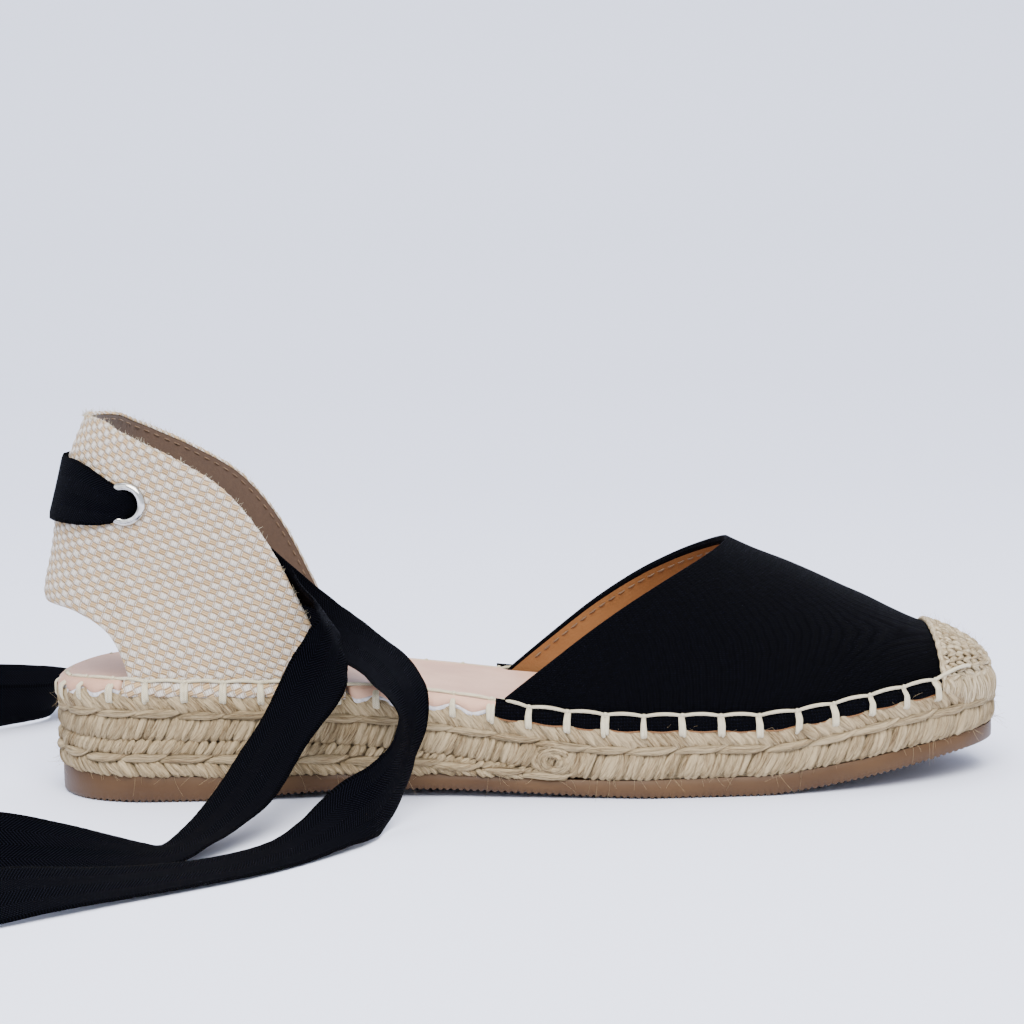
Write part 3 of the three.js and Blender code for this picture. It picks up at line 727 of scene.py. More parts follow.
def makeTie(name, route, sign):
    start = counterPoint(sign * aroundAt(24.3), 77.0, -3.4)  # just inside its eyelet
    rows = [(*start, route[0][3])] + list(route)
    line, at = smoothRoute(rows)
    lean = np.radians(through(list(enumerate(row[3] for row in rows)))(at))[:, None]
    ahead = unit(np.gradient(line, axis=0))
    side = unit(np.cross(ahead, [0.0, 0.0, 1.0]))
    across = np.cos(lean) * side + np.sin(lean) * np.cross(side, ahead)
    length = runOf(line)
    width = lerp(ribbon["throat"], ribbon["width"], ease(length, 0, 13))
    width = width - 0.5 * ease(length, 60, 120) * np.sin(length / 23) ** 2
    cup = 0.9 * (1 - ease(length, 2, 20)) + 0.25 * np.sin(length / 17)
    wave = ribbon["ripple"] * np.sin(length / 9.0)[:, None] * np.cross(ahead, across)
    stock = Stock()
    full = tapeSheet(stock, line + wave, across, width, cup)
    tie = stock.make(name + "_ribbon", [tape], [name], "ribbon")
    print(f"{name} is {full:.0f} mm long")


makeTie("tie_outer", outerTie, -1)
makeTie("tie_inner", innerTie, 1)

# The band round the back: run, distance out of the counter, height and width, from the middle of
# the back to inside the eyelet.
bandRows = [
    (0, 1.0, 80.6, 17.2), (5, 1.05, 80.2, 17.0), (9, 1.3, 79.4, 15.8), (12.5, 1.7, 78.5, 13.9),
    (15.5, 2.2, 77.8, 12.0), (18, 2.3, 77.4, 10.2), (20.4, 1.7, 77.2, 8.6), (22.6, 0.5, 77.1, 7.6),
    (24.0, -1.2, 77.0, 7.2), (24.5, -2.5, 77.0, 7.2), (24.6, -3.6, 77.0, 7.6),
]


def makeBand():
    t = np.linspace(0, len(bandRows) - 1, 70)
    numbered = [(i, *row) for i, row in enumerate(bandRows)]
    run, out, z, width = [through(numbered, k)(t) for k in (1, 2, 3, 4)]
    side = aroundAt(np.maximum(run, 0.02))
    around = np.concatenate([-side[::-1], side[1:]])
    run, out, z, width = [np.concatenate([v[::-1], v[1:]]) for v in (run, out, z, width)]
    line = counterPoint(around, z, out)
    up = unit(counterPoint(around, z + 6) - counterPoint(around, z - 6))  # it lies along the wall
    cup = -0.1 * (1 - ease(run, 0, 10)) + 1.5 * ease(run, 9, 20)
    stock = Stock()
    tapeSheet(stock, line, up, width, -cup)
    stock.make("back_band_ribbon", [tape], ["tie_back_band"], "ribbon")


makeBand()


# Smooth sides, and fine bars across the underside.
tread = {"pitch": 1.75, "depth": 0.6, "inset": 0.6, "step": 0.25}


def makeOutsole():
    tip = tread["inset"] + 0.003
    x = np.unique(np.concatenate([
        np.arange(0.9, shoeLength - 0.8, tread["step"]),
        tip + np.linspace(0, 1, 26) ** 2.6 * 8,
        shoeLength - tip - np.linspace(0, 1, 32) ** 2.6 * 10,
    ]))
    # the section from the middle of the underside to the edge, and up the side
    across = np.array([0, 0.25, 0.5, 0.7, 0.86, 0.95, 1, 1, 1, 1, 1])
    level = np.array([0, 0, 0, 0, 0, 0, 0.04, 0.16, 0.5, 0.8, 1])
    inset = np.array([0, 0, 0, 0, 0, 0, 0.35, 0, -0.25, -0.1, 0.35])
    bars = np.abs(((x / tread["pitch"]) % 1) * 2 - 1)
    groove = tread["depth"] * (1 - ease(bars, 0.25, 0.6)) * ease(x, 6, 14) * (1 - ease(x, 232, 242))

    def side(inner, sign):
        half = np.maximum(halfWidth(x, inner, tread["inset"]), 0.4)[:, None]
        reach = np.where(across < 1, half * across, np.maximum(half - inset, 0.2))
        y = centreLine(x)[:, None] + sign * reach
        z = underside(x)[:, None] + level * rubber(x)[:, None]
        z = z + groove[:, None] * np.clip(1 - level / 0.12, 0, 1)
        return np.stack([np.broadcast_to(x[:, None], y.shape), y, z], -1)

    def toMiddle(points, at):
        return points * [1, 0, 1] + np.array([0, 1, 0]) * centreLine(at)[:, None, None]

    outer, inner = side(False, -1), side(True, 1)
    top = toMiddle(outer[:, -1:], x)
    ring = np.concatenate([outer[:, ::-1], inner[:, 1:], top, outer[:, -1:]], 1)
    ends = toMiddle(ring[[0, -1]], x[[0, -1]])
    ring = np.concatenate([ends[:1], ring, ends[1:]])  # closes the back and the front
    stock = Stock()
    stock.add(ring, flip=True)
    stock.make("outsole_tread", [soleRubber], ["outsole"], "sole_rubber")


makeOutsole()


# The braids: two slanting rows of strands with a chain between them, on a core.
braidCut = {
    "slantPitch": 2.0, "slantRise": 3.0, "widePitch": 3.2, "wideRise": 6.2, "heelPitch": 2.05,
    "chainPitch": 11.6, "chainLength": 14.5, "steps": 13, "sides": 9, "fibres": 4,
}
combed = Stock()  # the fine fibres of every jute piece, made last as one


# Fine fibres lying along each strand, over the side that shows.
def combFibres(paths, out, width, depth, each):
    width, depth = width[..., None], depth[..., None]
    aside, rise = pathSides(paths, out)
    t = np.linspace(0, 1, paths.shape[1])[None, :, None]
    for _ in range(each):
        vary = lambda low, high: chance.uniform(low, high, (len(paths), 1, 1))
        turn = np.pi * (vary(0.1, 0.9) + vary(-0.22, 0.22) * (t - 0.5))
        loose = 1.02 + vary(0, 0.5) ** 3 * 6 * np.abs(t - vary(0.3, 0.7)) ** 2
        line = paths + aside * np.cos(turn) * width * loose + rise * np.sin(turn) * depth * loose
        thick = vary(0.05, 0.12)[..., 0] * np.sin(np.pi * np.clip(t[..., 0], 0.08, 0.92))
        strands(combed, line[:, ::2], out[:, ::2], thick[:, ::2], thick[:, ::2], 3)


# Strands with their fibres, oval: width to each side, depth out.
def combedStrands(stock, paths, out, width, depth, sides, each):
    strands(stock, paths, out, width, depth, sides)
    combFibres(paths, out, width, depth, each)


# Full in the middle of t and pointed at its ends.
def swellAt(t, tip, power):
    return np.sin(np.pi * np.clip(t, tip, 1 - tip)) ** power


# One row of strands. rise is how far along a strand leans on its way up, tuck how far its ends
# sink in, and over how far its top turns over.
def strandRow(stock, places, low, high, rise, width, depth, out, tuck, over=0.0):
    t = np.linspace(0, 1, braidCut["steps"])
    places = np.asarray(places)[:, None]
    shift = lambda size: chance.uniform(-size, size, places.shape)
    s = places + shift(0.35) + (rise + shift(0.7)) * (t - 0.5) + shift(0.3) * np.sin(np.pi * t)
    x = loopX(s)
    level = low(x) + (high(x) - low(x)) * t + shift(0.2)
    ends = np.abs(2 * t - 1) ** 3
    bend = out + shift(0.22) - tuck * ends - over * ease(t, 0.55, 1.0) ** 1.5
    paths = offLoop(s, bend, level)
    facing = outwardAt(s) + np.array([0, 0, 1.0]) * (1.1 * over * ease(t, 0.6, 1.0) ** 2)[:, None]
    fat = (1 + shift(0.25)) * (1 - 0.5 * ends)
    facing = np.broadcast_to(unit(facing), paths.shape)
    combedStrands(stock, paths, facing, width * fat, depth * fat, braidCut["sides"], braidCut["fibres"])


# The chain between the rows: long links that overlap.
def chainRow(stock, places, middle, half, out):
    t = np.linspace(0, 1, 18)
    places = np.asarray(places)[:, None]
    shift = lambda size: chance.uniform(-size, size, places.shape)
    s = places + shift(0.6) + braidCut["chainLength"] * (1 + shift(0.08)) * (t - 0.5)
    x = loopX(s)
    swell = swellAt(t, 0.02, 0.55)
    z = middle(x) + shift(0.25) + 1.9 * (t - 0.5) + 0.3 * np.sin(2 * np.pi * t)
    bend = out - 0.9 * (1 - swell) + 0.35 * (t - 0.5)
    wide = half * swell * (1 + shift(0.12))
    combedStrands(stock, offLoop(s, bend, z), outwardAt(s), wide, 0.8 * wide, 10, 5)


# The wall behind the strands, dark with painted shade.
def core(stock, s, low, high, out):
    x = loopX(s)
    level = np.array([0.0, 0.0, 0.25, 0.75, 1.0, 1.0])
    inward = np.array([-8.0, -0.9, -0.6, -0.8, -2.2, -9.0]) + out
    z = low(x)[:, None] + (high(x) - low(x))[:, None] * level
    line = offLoop(np.broadcast_to(s[:, None], z.shape), np.broadcast_to(inward, z.shape), z)
    laid = np.stack([np.broadcast_to(s[:, None], z.shape), z], -1)
    stock.add(line, laid, 0.3, 1)


# The height at a share of the way from low to high.
def part(low, high, share):
    return lambda x: low(x) + (high(x) - low(x)) * share


def makeTopBraid():
    stock = Stock()
    # low comes down to the rubber where the wedge is too thin for a braid of its own
    low = lambda x: rubberTop(x) + 0.25 + np.maximum(wedge(x), 0) * ease(wedge(x), 0.5, 2.4)
    high = juteTop
    around = np.linspace(0, loopLength, 1200)
    core(stock, around, low, lambda x: high(x) - 0.9, -0.2)
    slant = np.arange(0, loopLength - 1, braidCut["slantPitch"])
    strandRow(stock, slant, low, part(low, high, 0.47), braidCut["slantRise"], 1.3, 0.74, -0.5, 0.8)
    wide = np.arange(0, loopLength - 2, braidCut["widePitch"])
    middle, crest = part(low, high, 0.56), lambda x: high(x) + 0.05
    strandRow(stock, wide, middle, crest, -braidCut["wideRise"], 1.95, 0.8, -0.42, 0.7, 1.3)
    links = np.arange(0, loopLength - 6, braidCut["chainPitch"])
    chainRow(stock, links, part(low, high, 0.52), 1.12, -0.15)
    stock.make("braid_top", [jute, juteShadow], ["jute_braid"], "jute")


knot = {"strands": 46, "long": 5.2, "tall": 3.9, "height": 5.0, "thick": 0.72}


# The tuft that each end of the wedge's braid is tied off in: arcs round one spot.
def makeKnot(stock, middle):
    t = np.linspace(0, 1, 11)
    vary = lambda low, high: chance.uniform(low, high, (knot["strands"], 1))
    reach = vary(0.15, 1.0) ** 0.6
    turn = vary(-3.2, 3.2) + vary(0.9, 2.3) * (t - 0.5)
    s = middle + knot["long"] * reach * np.cos(turn) + vary(-0.5, 0.5)
    z = rubberTop(loopX(s)) + knot["height"] + knot["tall"] * reach * np.sin(turn)
    bulge = 0.75 - 1.5 * reach**2 + vary(-0.25, 0.25) - 0.8 * np.abs(2 * t - 1) ** 3
    size = knot["thick"] * (1 + vary(-0.3, 0.3)) * (1 - 0.5 * np.abs(2 * t - 1) ** 3)
    combedStrands(stock, offLoop(s, bulge, z), outwardAt(s), size, 0.8 * size, 8, 5)


def makeHeelBraid():
    stock = Stock()
    low = lambda x: rubberTop(x) + 0.2
    high = lambda x: wedgeTop(x) + 0.1
    front = loopAt(wedgeEnd)
    rear = loopAt(wedgeEnd, True) - loopLength
    core(stock, np.linspace(rear, front, 700), low, high, -0.2)
    places = np.arange(rear, front, braidCut["heelPitch"])
    for share0, share1, rise, width in ((0.0, 0.42, -3.4, 1.2), (0.6, 1.02, 2.7, 1.15)):
        foot, crest = part(low, high, share0), part(low, high, share1)
        for group in np.array_split(places, 24):  # the strands get finer as the wedge thins
            size = float(np.clip(wedge(loopX(group.mean())) / wedge(0), 0.22, 1))
            wide, deep = width * (0.45 + 0.55 * size), 0.78 * (0.5 + 0.5 * size)
            strandRow(stock, group, foot, crest, rise * max(size, 0.9), wide, deep, -0.5, 0.7)
    links = np.arange(rear + 8, front - 4, braidCut["chainPitch"])
    chainRow(stock, links, part(low, high, 0.5), 1.2, -0.1)
    for middle in (front - 3.5, rear + 3.5):
        makeKnot(stock, middle)
    stock.make("braid_heel", [jute, juteShadow], ["jute_wedge"], "jute")


makeTopBraid()
makeHeelBraid()


# Places of the blanket stitch round the outline.
stitch = {"pitch": 9.86, "phase": 124.6, "thick": 0.52, "last": 233.5}
firstStitch = float(loopAt(stitch["phase"]))
stitchCount = int(round(loopLength / stitch["pitch"]))
stitchPitch = loopLength / stitchCount
stitchPlaces = (firstStitch + stitchPitch * np.arange(stitchCount)) % loopLength


# 1 at a stitch, 0 midway to the next
def pulled(s):
    return np.cos(np.pi * (s - firstStitch) / stitchPitch) ** 2


# Leather over felt. Where no upper covers its edge, each stitch draws the edge in.
insoleThickness = 2.0
counterFoot, vampFoot = (18.5, 21.5, 76.5, 79.5), (116, 118.5)  # where their walls start and end
insoleInset = through([
    (0, 1.2), (18.5, 1.2), (21.5, 4.8), (76.5, 4.8), (79.5, 1.2),
    (116, 1.2), (118.5, 4.8), (216, 4.8), (226, 6.8), (249, 6.8),
])


# 1 where the insole's edge shows, 0 where a wall of the upper covers it
def bareEdge(x):
    waist = ease(x, *counterFoot[2:]) * (1 - ease(x, *vampFoot))
    return np.maximum(1 - ease(x, *counterFoot[:2]), waist)


def makeInsole():
    s = np.linspace(0, loopLength, 620)
    x = loopX(s)
    bare, tight = bareEdge(x), pulled(s)
    edge = -insoleInset(x) * (1.2 - 0.2 * bare)
    spine = np.stack([16 + x * 212 / 249, centreLine(16 + x * 0.85)], -1)  # from heel to toe
    rim = offLoop(s, edge, np.zeros_like(s))[:, :2]
    share = np.sin(np.linspace(0, np.pi / 2, 20)) ** 0.8
    flat = spine[:, None] + (rim - spine)[:, None] * share[:, None]
    dish = 0.5 * (1 - share**4)
    top = juteTop(flat[..., 0]) + gap + insoleThickness - dish - 0.25 * (share > 0.999)
    sheet = np.concatenate([flat, top[..., None]], -1)
    edgeTop = top[:, -1]
    lip = []  # the leather turned down over the edge
    for out, drop in ((0.6, 0.3), (1.2, 0.9), (1.6, 1.9), (1.6, 2.9), (1.2, 3.3)):
        reach = edge + lerp(0.15, out * (1 - 0.55 * tight), bare)
        fall = edgeTop - lerp(min(drop, 1.4), drop * (1 - 0.42 * tight), bare)
        lip.append(offLoop(s, reach, fall))
    stock = Stock()
    stock.add(np.concatenate([sheet, np.stack(lip, 1)], 1))
    under = []  # the felt below it
    for out, drop in ((1.2, 2.9), (1.55, 3.4), (1.5, 4.2), (0.6, 4.5)):
        reach = edge + lerp(0.0, out * (1 - 0.45 * tight), bare)
        under.append(offLoop(s, reach, edgeTop - lerp(1.5, drop * (1 - 0.35 * tight), bare)))
    stock.add(np.stack(under, 1), slot=1)
    stock.make("insole_sock", [insoleLeather, felt], ["insole"], "insole_leather")


makeInsole()


# The form that the vamp and the toe cap share: x along the shoe, turn over it from the outer
# side at 0 to the inner side at pi.
sidePower, toeBoxRound = 2.1, 24.0
throatPeak, throatSkew = 178.4, 2.2
toeCap = {"top": 231.2, "foot": 232.2}
archColumns = [  # x, height of the ridge over the feather, power of the arch
    (110, 66, 1.95), (142, 59.5, 1.95), (165, 50, 1.9), (178.4, 43.9, 1.85), (197, 34.4, 1.9),
    (213, 24.4, 2), (231, 13.8, 2.1), (238, 12.6, 2.15), (249, 11.6, 2.2),
]
ridge, archPower = through(archColumns), through(archColumns, 2)
throatHeight = through([
    (105, 13.5), (117.2, 24.3), (128.3, 33.2), (142.6, 44),
    (154.5, 51.6), (165.6, 57.4), (172, 60.3), (181, 64.2),
])


def vampForm(x, turn, out):
    x, turn, out = np.broadcast_arrays(*[np.asarray(v, float) for v in (x, turn, out)])
    inner = turn >= np.pi / 2
    inset = upperInset - out
    half = halfWidth(x, inner, inset)
    rounded = endRound(shoeLength - inset - x, toeBoxRound, 2)
    height = (ridge(x) + out) * rounded
    y = centreLine(x) + np.where(inner, 1, -1) * half * np.abs(np.cos(turn)) ** (2 / archPower(x))
    z = juteTop(x) + gap + height * np.abs(np.sin(turn)) ** (2 / sidePower)
    return np.stack([x, y, z], -1)


# Where the throat's edge crosses each turn, found by halving.
def throatAt(turn):
    low, high = np.full_like(turn, 106.0), np.full_like(turn, 179.0)
    for _ in range(40):
        middle = (low + high) / 2
        over = vampForm(middle, turn, 0)[..., 2] > throatHeight(middle)
        low, high = np.where(over, middle, low), np.where(over, high, middle)
    return np.minimum(low + throatSkew * np.maximum(-np.cos(turn), 0), throatPeak)


# The back edge of the toe cap.
def toeCapEdge(turn):
    return lerp(toeCap["foot"], toeCap["top"], np.sin(turn) ** 2)


# Lengths along both ways of a grid, for cloth to lie true on it.
def clothLay(grid):
    along = np.cumsum(np.linalg.norm(np.diff(grid, axis=1, prepend=grid[:, :1]), axis=-1), 1)
    up = np.cumsum(np.linalg.norm(np.diff(grid, axis=0, prepend=grid[:1]), axis=-1), 0)
    return along, up


# Short lens-shaped stitches along a line of points that lies on a face.
def seam(stock, line, out, length, pause, thick):
    run = runOf(line)
    starts = np.arange(0.5, run[-1] - length, length + pause)
    t = np.linspace(0, 1, 9)
    at = starts[:, None] + length * t
    paths, away = alongLine(at, run, line), unit(alongLine(at, run, out))
    lift = np.sin(np.pi * t)[:, None]
    paths = paths + away * (lift * thick * 0.9 - thick * 0.35)
    size = thick * np.sin(np.pi * np.clip(t, 0.06, 0.94)) ** 0.4
    strands(stock, paths, away, size, size * 0.8, 8)


vampCut = {"crumple": 0.12, "roll": 0.55, "turnIn": 0.7, "seamIn": 2.6, "stitch": 2.2, "pause": 1.0}


def makeVamp():
    turn = np.linspace(0, np.pi, 181)[:, None]
    throat, capEdge = throatAt(turn), toeCapEdge(turn)
    x = lerp(throat, capEdge + 5, np.linspace(0, 1, 110) ** 1.08)
    waves = np.sin(x / 7 + 3 * np.sin(turn * 2)) * np.sin(turn * 5 + x / 17) * np.sin(turn) ** 0.5
    under = -2.2 * ease(x, capEdge - 0.2, capEdge + 1.2)  # it dips under the toe cap
    outside = vampForm(x, turn, vampCut["crumple"] * waves + under)
    edge = [vampForm(throat + vampCut["turnIn"], turn, -wall - 0.05)]
    for angle in np.linspace(1, 0.12, 9) * np.pi:
        out = -wall / 2 + wall / 2 * math.cos(angle)
        edge.append(vampForm(throat - vampCut["roll"] * math.sin(angle), turn, out))
    rolled = np.concatenate([*edge, outside], 1)
    stock = Stock()
    stock.add(rolled, np.stack(clothLay(rolled), -1), flip=True)
    x = lerp(throat + 0.6, capEdge + 8, np.linspace(0, 1, 40))
    stock.add(vampForm(x, turn, -wall - 0.12), slot=1)
    stock.make("vamp_cloth", [blackCanvas, vampLeather], ["vamp"], "black_canvas")
    thread = Stock()
    turns = np.linspace(0.05, np.pi - 0.05, 400)
    x = throatAt(turns) + vampCut["seamIn"]
    line = vampForm(x, turns, -wall - 0.22)
    away = unit(vampForm(x, turns, -wall - 1) - line)
    seam(thread, line, away, vampCut["stitch"], vampCut["pause"], 0.27)
    thread.make("vamp_seam", [seamThread], slot="black_canvas")


makeVamp()


# Sections of the folded edge and of the lining's edge below it: distance out of the outline, and
# height over the jute. The outer rows puff out between the stitches.
hemFold = [
    (-1.35, 3.2), (-1.25, 2.4), (-1.2, 2.0), (-0.7, 1.6), (-0.25, 1.0),
    (0.1, 0.2), (0.3, -0.6), (0.25, -1.25), (0.0, -1.5), (-0.6, -1.4),
]
hemLining = [(-0.9, -1.2), (-0.1, -1.35), (0.12, -1.6), (0.0, -1.9), (-0.9, -2.0)]
hemCut = {"step": 0.35, "puff": 0.45, "sag": 0.25, "blackEnds": (116, 232.6), "naturalEnds": (20, 78)}


def hem(stock, first, last, rough=0.0, lined=False):
    s = np.arange(first, last, hemCut["step"])
    x, slack = loopX(s), 1 - pulled(s)
    ends = np.minimum(ease(s, first, first + 2.5), 1 - ease(s, last - 2.5, last))
    sag = hemCut["sag"] * slack
    lines = []
    for k, (out, z) in enumerate(hemFold):
        loose = hemCut["puff"] * slack * (1 if k > 2 else 0.15)
        fray = rough * chance.normal(0, 1, s.shape) * (k > 5)
        lines.append(offLoop(s, out + loose * ends, juteTop(x) + z - sag * (k > 5) + fray))
    grid = np.stack(lines, 1)
    stock.add(grid, np.stack(np.broadcast_arrays(s[:, None], grid[..., 2]), -1))
    if lined:
        edge = [offLoop(s, out + 0.4 * slack * ends, juteTop(x) + z - sag) for out, z in hemLining]
        stock.add(np.stack(edge, 1), slot=1)


# The same hem on the outer and the inner side.
def hemPair(stock, rear, front, **cut):
    hem(stock, float(loopAt(rear)), float(loopAt(front)), **cut)
    hem(stock, float(loopAt(front, True)), float(loopAt(rear, True)), **cut)


def makeHems():
    black, natural = Stock(), Stock()
    hemPair(black, *hemCut["blackEnds"], lined=True)
    black.make("vamp_hem", [blackCanvas, vampLeather], slot="black_canvas")
    hemPair(natural, *hemCut["naturalEnds"], rough=0.1)
    natural.make("counter_hem", [naturalCanvas], slot="natural_canvas")


makeHems()


# How proud the woven bundles stand, in step with the natural canvas.
def weaveRelief(along, up):
    c, s = math.cos(weave["turn"]), math.sin(weave["turn"])
    a = (along * c + up * s) / weave["cell"][0]
    b = (up * c - along * s) / weave["cell"][1]
    share = weave["standing"]
    phase = ((b + np.floor(a)) * 0.5) % 1
    across = 1 - np.abs(2 * (a % 1) - 1) ** 4
    white = weave["white"] * np.sin(np.pi * np.clip(phase / share, 0, 1)) ** 0.6 * across
    over = np.clip((phase - share) / (1 - share), 0, 1)
    tan = weave["tan"] * np.sin(np.pi * over) ** 0.6 * across + 0.16 * (across < 0.6)
    return np.where(phase < share, white, tan)


counterCut = {
    "columns": 380, "rows": 126, "roll": 0.75, "foldLay": 0.7, "hole": 4.45,
    "seamIn": 1.25, "stitch": 1.7, "pause": 1.3,
}
backOfCounter = 1e-4  # around never is 0 itself, where its sides meet


# The edge rolled from the outside to the inside: roll is how far it stands past z at each angle.
def rolledEdge(around, along, z, roll, angles, way):
    points, laid = [], []
    for angle in angles:
        out = -wall / 2 - 0.1 + (wall / 2 - 0.05) * math.cos(angle)
        points.append(counterPoint(around, z + way * roll * math.sin(angle), out))
        laid.append(np.stack([along, z + way * angle * counterCut["foldLay"]], -1))
    return np.stack(points, 1), np.stack(laid, 1)


def makeCounter():
    dense = np.linspace(-1, 1, 4001)
    length = runOf(counterPoint(dense, 58.0))
    length -= length[len(dense) // 2]
    along = np.linspace(length[0], length[-1], counterCut["columns"])
    around = np.interp(along, length, dense)
    around[np.abs(around) < backOfCounter] = backOfCounter
    low, high = counterSpan(around)
    share = np.linspace(0, 1, counterCut["rows"])
    z = lerp(low[:, None], high[:, None], share)
    laid = np.stack(np.broadcast_arrays(along[:, None], z), -1)
    fade = np.minimum(share / 0.02, 1) * np.minimum((1 - share) / 0.012, 1)  # flat at the edges
    outside = counterPoint(around[:, None], z, weaveRelief(*np.moveaxis(laid, -1, 0)) * fade - 0.15)
    uneven = 0.12 * np.sin(along * 2.7) + 0.08 * np.sin(along * 6.1 + 1)
    angles = np.linspace(0.15, 1, 8) * np.pi
    over, overLaid = rolledEdge(around, along, high, counterCut["roll"] + uneven, angles, 1)
    cutOut = 0.7 * ease(-runAt(around), -23, -20)  # only the cut-out's edge is rolled below
    beneath, beneathLaid = rolledEdge(around, along, low, cutOut, angles[::-1], -1)
    stock = Stock()
    grid = np.concatenate([beneath, outside, over], 1)
    stock.add(grid, np.concatenate([beneathLaid, laid, overLaid], 1), flip=True)
    z = lerp(low[:, None] - 0.1, high[:, None] - 0.15, np.linspace(0, 1, 40))
    lining = counterPoint(around[:, None], z, -wall - 0.02)
    stock.add(lining, np.stack(np.broadcast_arrays(along[:, None], z), -1), slot=1)
    clearHoles(stock, [eyeletPlace(sign) for sign in (-1, 1)], counterCut["hole"])
    stock.make("counter_cloth", [naturalCanvas, counterSuede], ["heel_counter"], "natural_canvas")
    thread = Stock()
    for first, last in ((-0.985, 0), (0, 0.985)):
        line = np.linspace(first, last, 900)
        line = line[np.abs(line) > backOfCounter]
        top = counterSpan(line)[1]
        spine = counterPoint(line, top, -wall - 0.16)
        ahead = unit(np.gradient(spine, axis=0))
        away = unit(counterPoint(line, top, -wall - 1.0) - counterPoint(line, top, -wall))
        inwards = np.cross(away, ahead)
        inwards *= np.where(inwards[:, 2:] > 0, -1, 1)
        spine = spine + inwards * counterCut["seamIn"]
        seam(thread, spine, away, counterCut["stitch"], counterCut["pause"], 0.19)
    thread.make("counter_seam", [seamThread], slot="natural_canvas")


# Takes the faces within a radius of each eyelet's axis out of the stock.
def clearHoles(stock, centres, radius):
    points, kept, slots = np.concatenate(stock.points), [], []
    for quads, slot in zip(stock.quads, stock.slots):
        middle = points[quads].mean(1)
        near = np.zeros(len(quads), bool)
        for centre, outwards in centres:
            away = middle - centre
            depth = away @ outwards
            flat = np.linalg.norm(away - depth[:, None] * outwards, axis=1)
            near |= (flat < radius) & (np.abs(depth) < 6)
        kept.append(quads[~near])
        slots.append(slot[~near])
    stock.quads, stock.slots = kept, slots


makeCounter()


# A rolled ring on each side of the wall, joined by a barrel: radius, and distance out.
eyeletFace = [
    (3.6, 0.0), (3.5, 0.7), (3.45, 1.3), (3.6, 1.75), (4.0, 2.1), (4.5, 2.22),
    (5.0, 2.12), (5.4, 1.85), (5.68, 1.5), (5.75, 1.15), (5.6, 1.0), (4.6, 1.0),
]


def makeEyelet(name, sign):
    centre, outwards = eyeletPlace(sign)
    aside = unit(np.cross(outwards, [0, 0, 1.0]))
    rise = np.cross(aside, outwards)
    profile = np.array(eyeletFace[::-1] + [(radius, -out) for radius, out in eyeletFace[1:]])
    angle = np.linspace(0, 2 * np.pi, 73)
    ring = aside * np.cos(angle)[:, None] + rise * np.sin(angle)[:, None]
    points = centre + ring[:, None] * profile[:, :1] + outwards * profile[:, 1:]
    stock = Stock()
    stock.add(points, flip=True)
    stock.make(name + "_ring", [chrome], [name], "eyelet_metal")


makeEyelet("eyelet_outer", -1)
makeEyelet("eyelet_inner", 1)


# Rows of crocheted stitches over a close base, a skirt of them, and a chain along the edge.
crochetCut = {"stitch": 2.5, "thick": 0.64, "lean": 1.5, "skirtPitch": 2.0, "link": 4.6, "linkPitch": 3.6}
capTip = shoeLength - upperInset
capHeart = np.array([236.0, float(centreLine(236.0)), 18.0])  # the stitches face away from here


# x at a share of the way from the cap's edge to its tip, closer together towards the tip
def capX(turn, share, edge, tip):
    return lerp(toeCapEdge(turn) + edge, capTip - tip, np.sin(np.pi / 2 * share) ** 1.25)


# Rows of stitches in pairs that lean together, each reaching up under the next row.
def crochetRows(stock, turns):
    t = np.linspace(0, 1, 11)
    swell = swellAt(t, 0.03, 0.5)
    for reach in (0.0, 0.11, 0.22, 0.33, 0.45, 0.57, 0.7, 0.83, 0.95):
        line = vampForm(capX(turns, reach, 0.9, 0.4), turns, 0.25)
        ahead = vampForm(capX(turns, min(reach + 0.13, 0.995), 0.9, 0.4), turns, 0.25)
        run = runOf(line)
        count = max(int(run[-1] / crochetCut["stitch"]), 3)
        for lean, offset in ((1, 0.0), (-1, 0.5)):
            places = (np.arange(count) + offset + 0.25)[:, None] * run[-1] / count
            places = places + chance.uniform(-0.5, 0.5, places.shape)
            at = np.clip(places + lean * crochetCut["lean"] * (t - 0.5), 0, run[-1])
            step = t * (1.05 + chance.uniform(-0.1, 0.1, places.shape)) - 0.02
            a, b = alongLine(at, run, line), alongLine(at, run, ahead)
            away = unit(a - capHeart)
            lift = 0.7 * swell[:, None] - 0.35 + chance.uniform(-0.15, 0.2, (count, 1, 1))
            paths = lerp(a, b, np.clip(step, 0, 1.2)[..., None]) + away * lift
            size = crochetCut["thick"] * swell * (1 + chance.uniform(-0.25, 0.25, places.shape))
            combedStrands(stock, paths, away, size * 1.1, size, 8, 1)


# Stitches that hang from the cap over the top braid, longest at the front.
def crochetSkirt(stock):
    t = np.linspace(0, 1, 12)
    ends = np.abs(2 * t - 1) ** 3
    first, last = float(loopAt(231.5)), float(loopAt(231.5, True))
    places = np.arange(first, last, crochetCut["skirtPitch"])[:, None]
    vary = lambda size: chance.uniform(-size, size, places.shape)
    for lean in (-1.3, 1.0):
        s = places + vary(0.6) + (lean + vary(0.8)) * (t - 0.5)
        x = loopX(s)
        near = ease(x, 231, 243)
        high, low = juteTop(x) + 1.9 + vary(0.4), wedgeTop(x) + 0.25
        foot = lerp(high - 3.2, low + (high - low) * 0.42, near) + vary(0.4)
        out = lerp(-1.2, -0.05, ease(t, 0, 0.5)) + 0.35 * near + vary(0.2) - 0.6 * ends
        size = 0.62 * (1 + vary(0.3)) * (1 - 0.5 * ends)
        paths = offLoop(s, out, lerp(high, foot, t))
        combedStrands(stock, paths, outwardAt(s), size * 1.2, size, 8, 2)


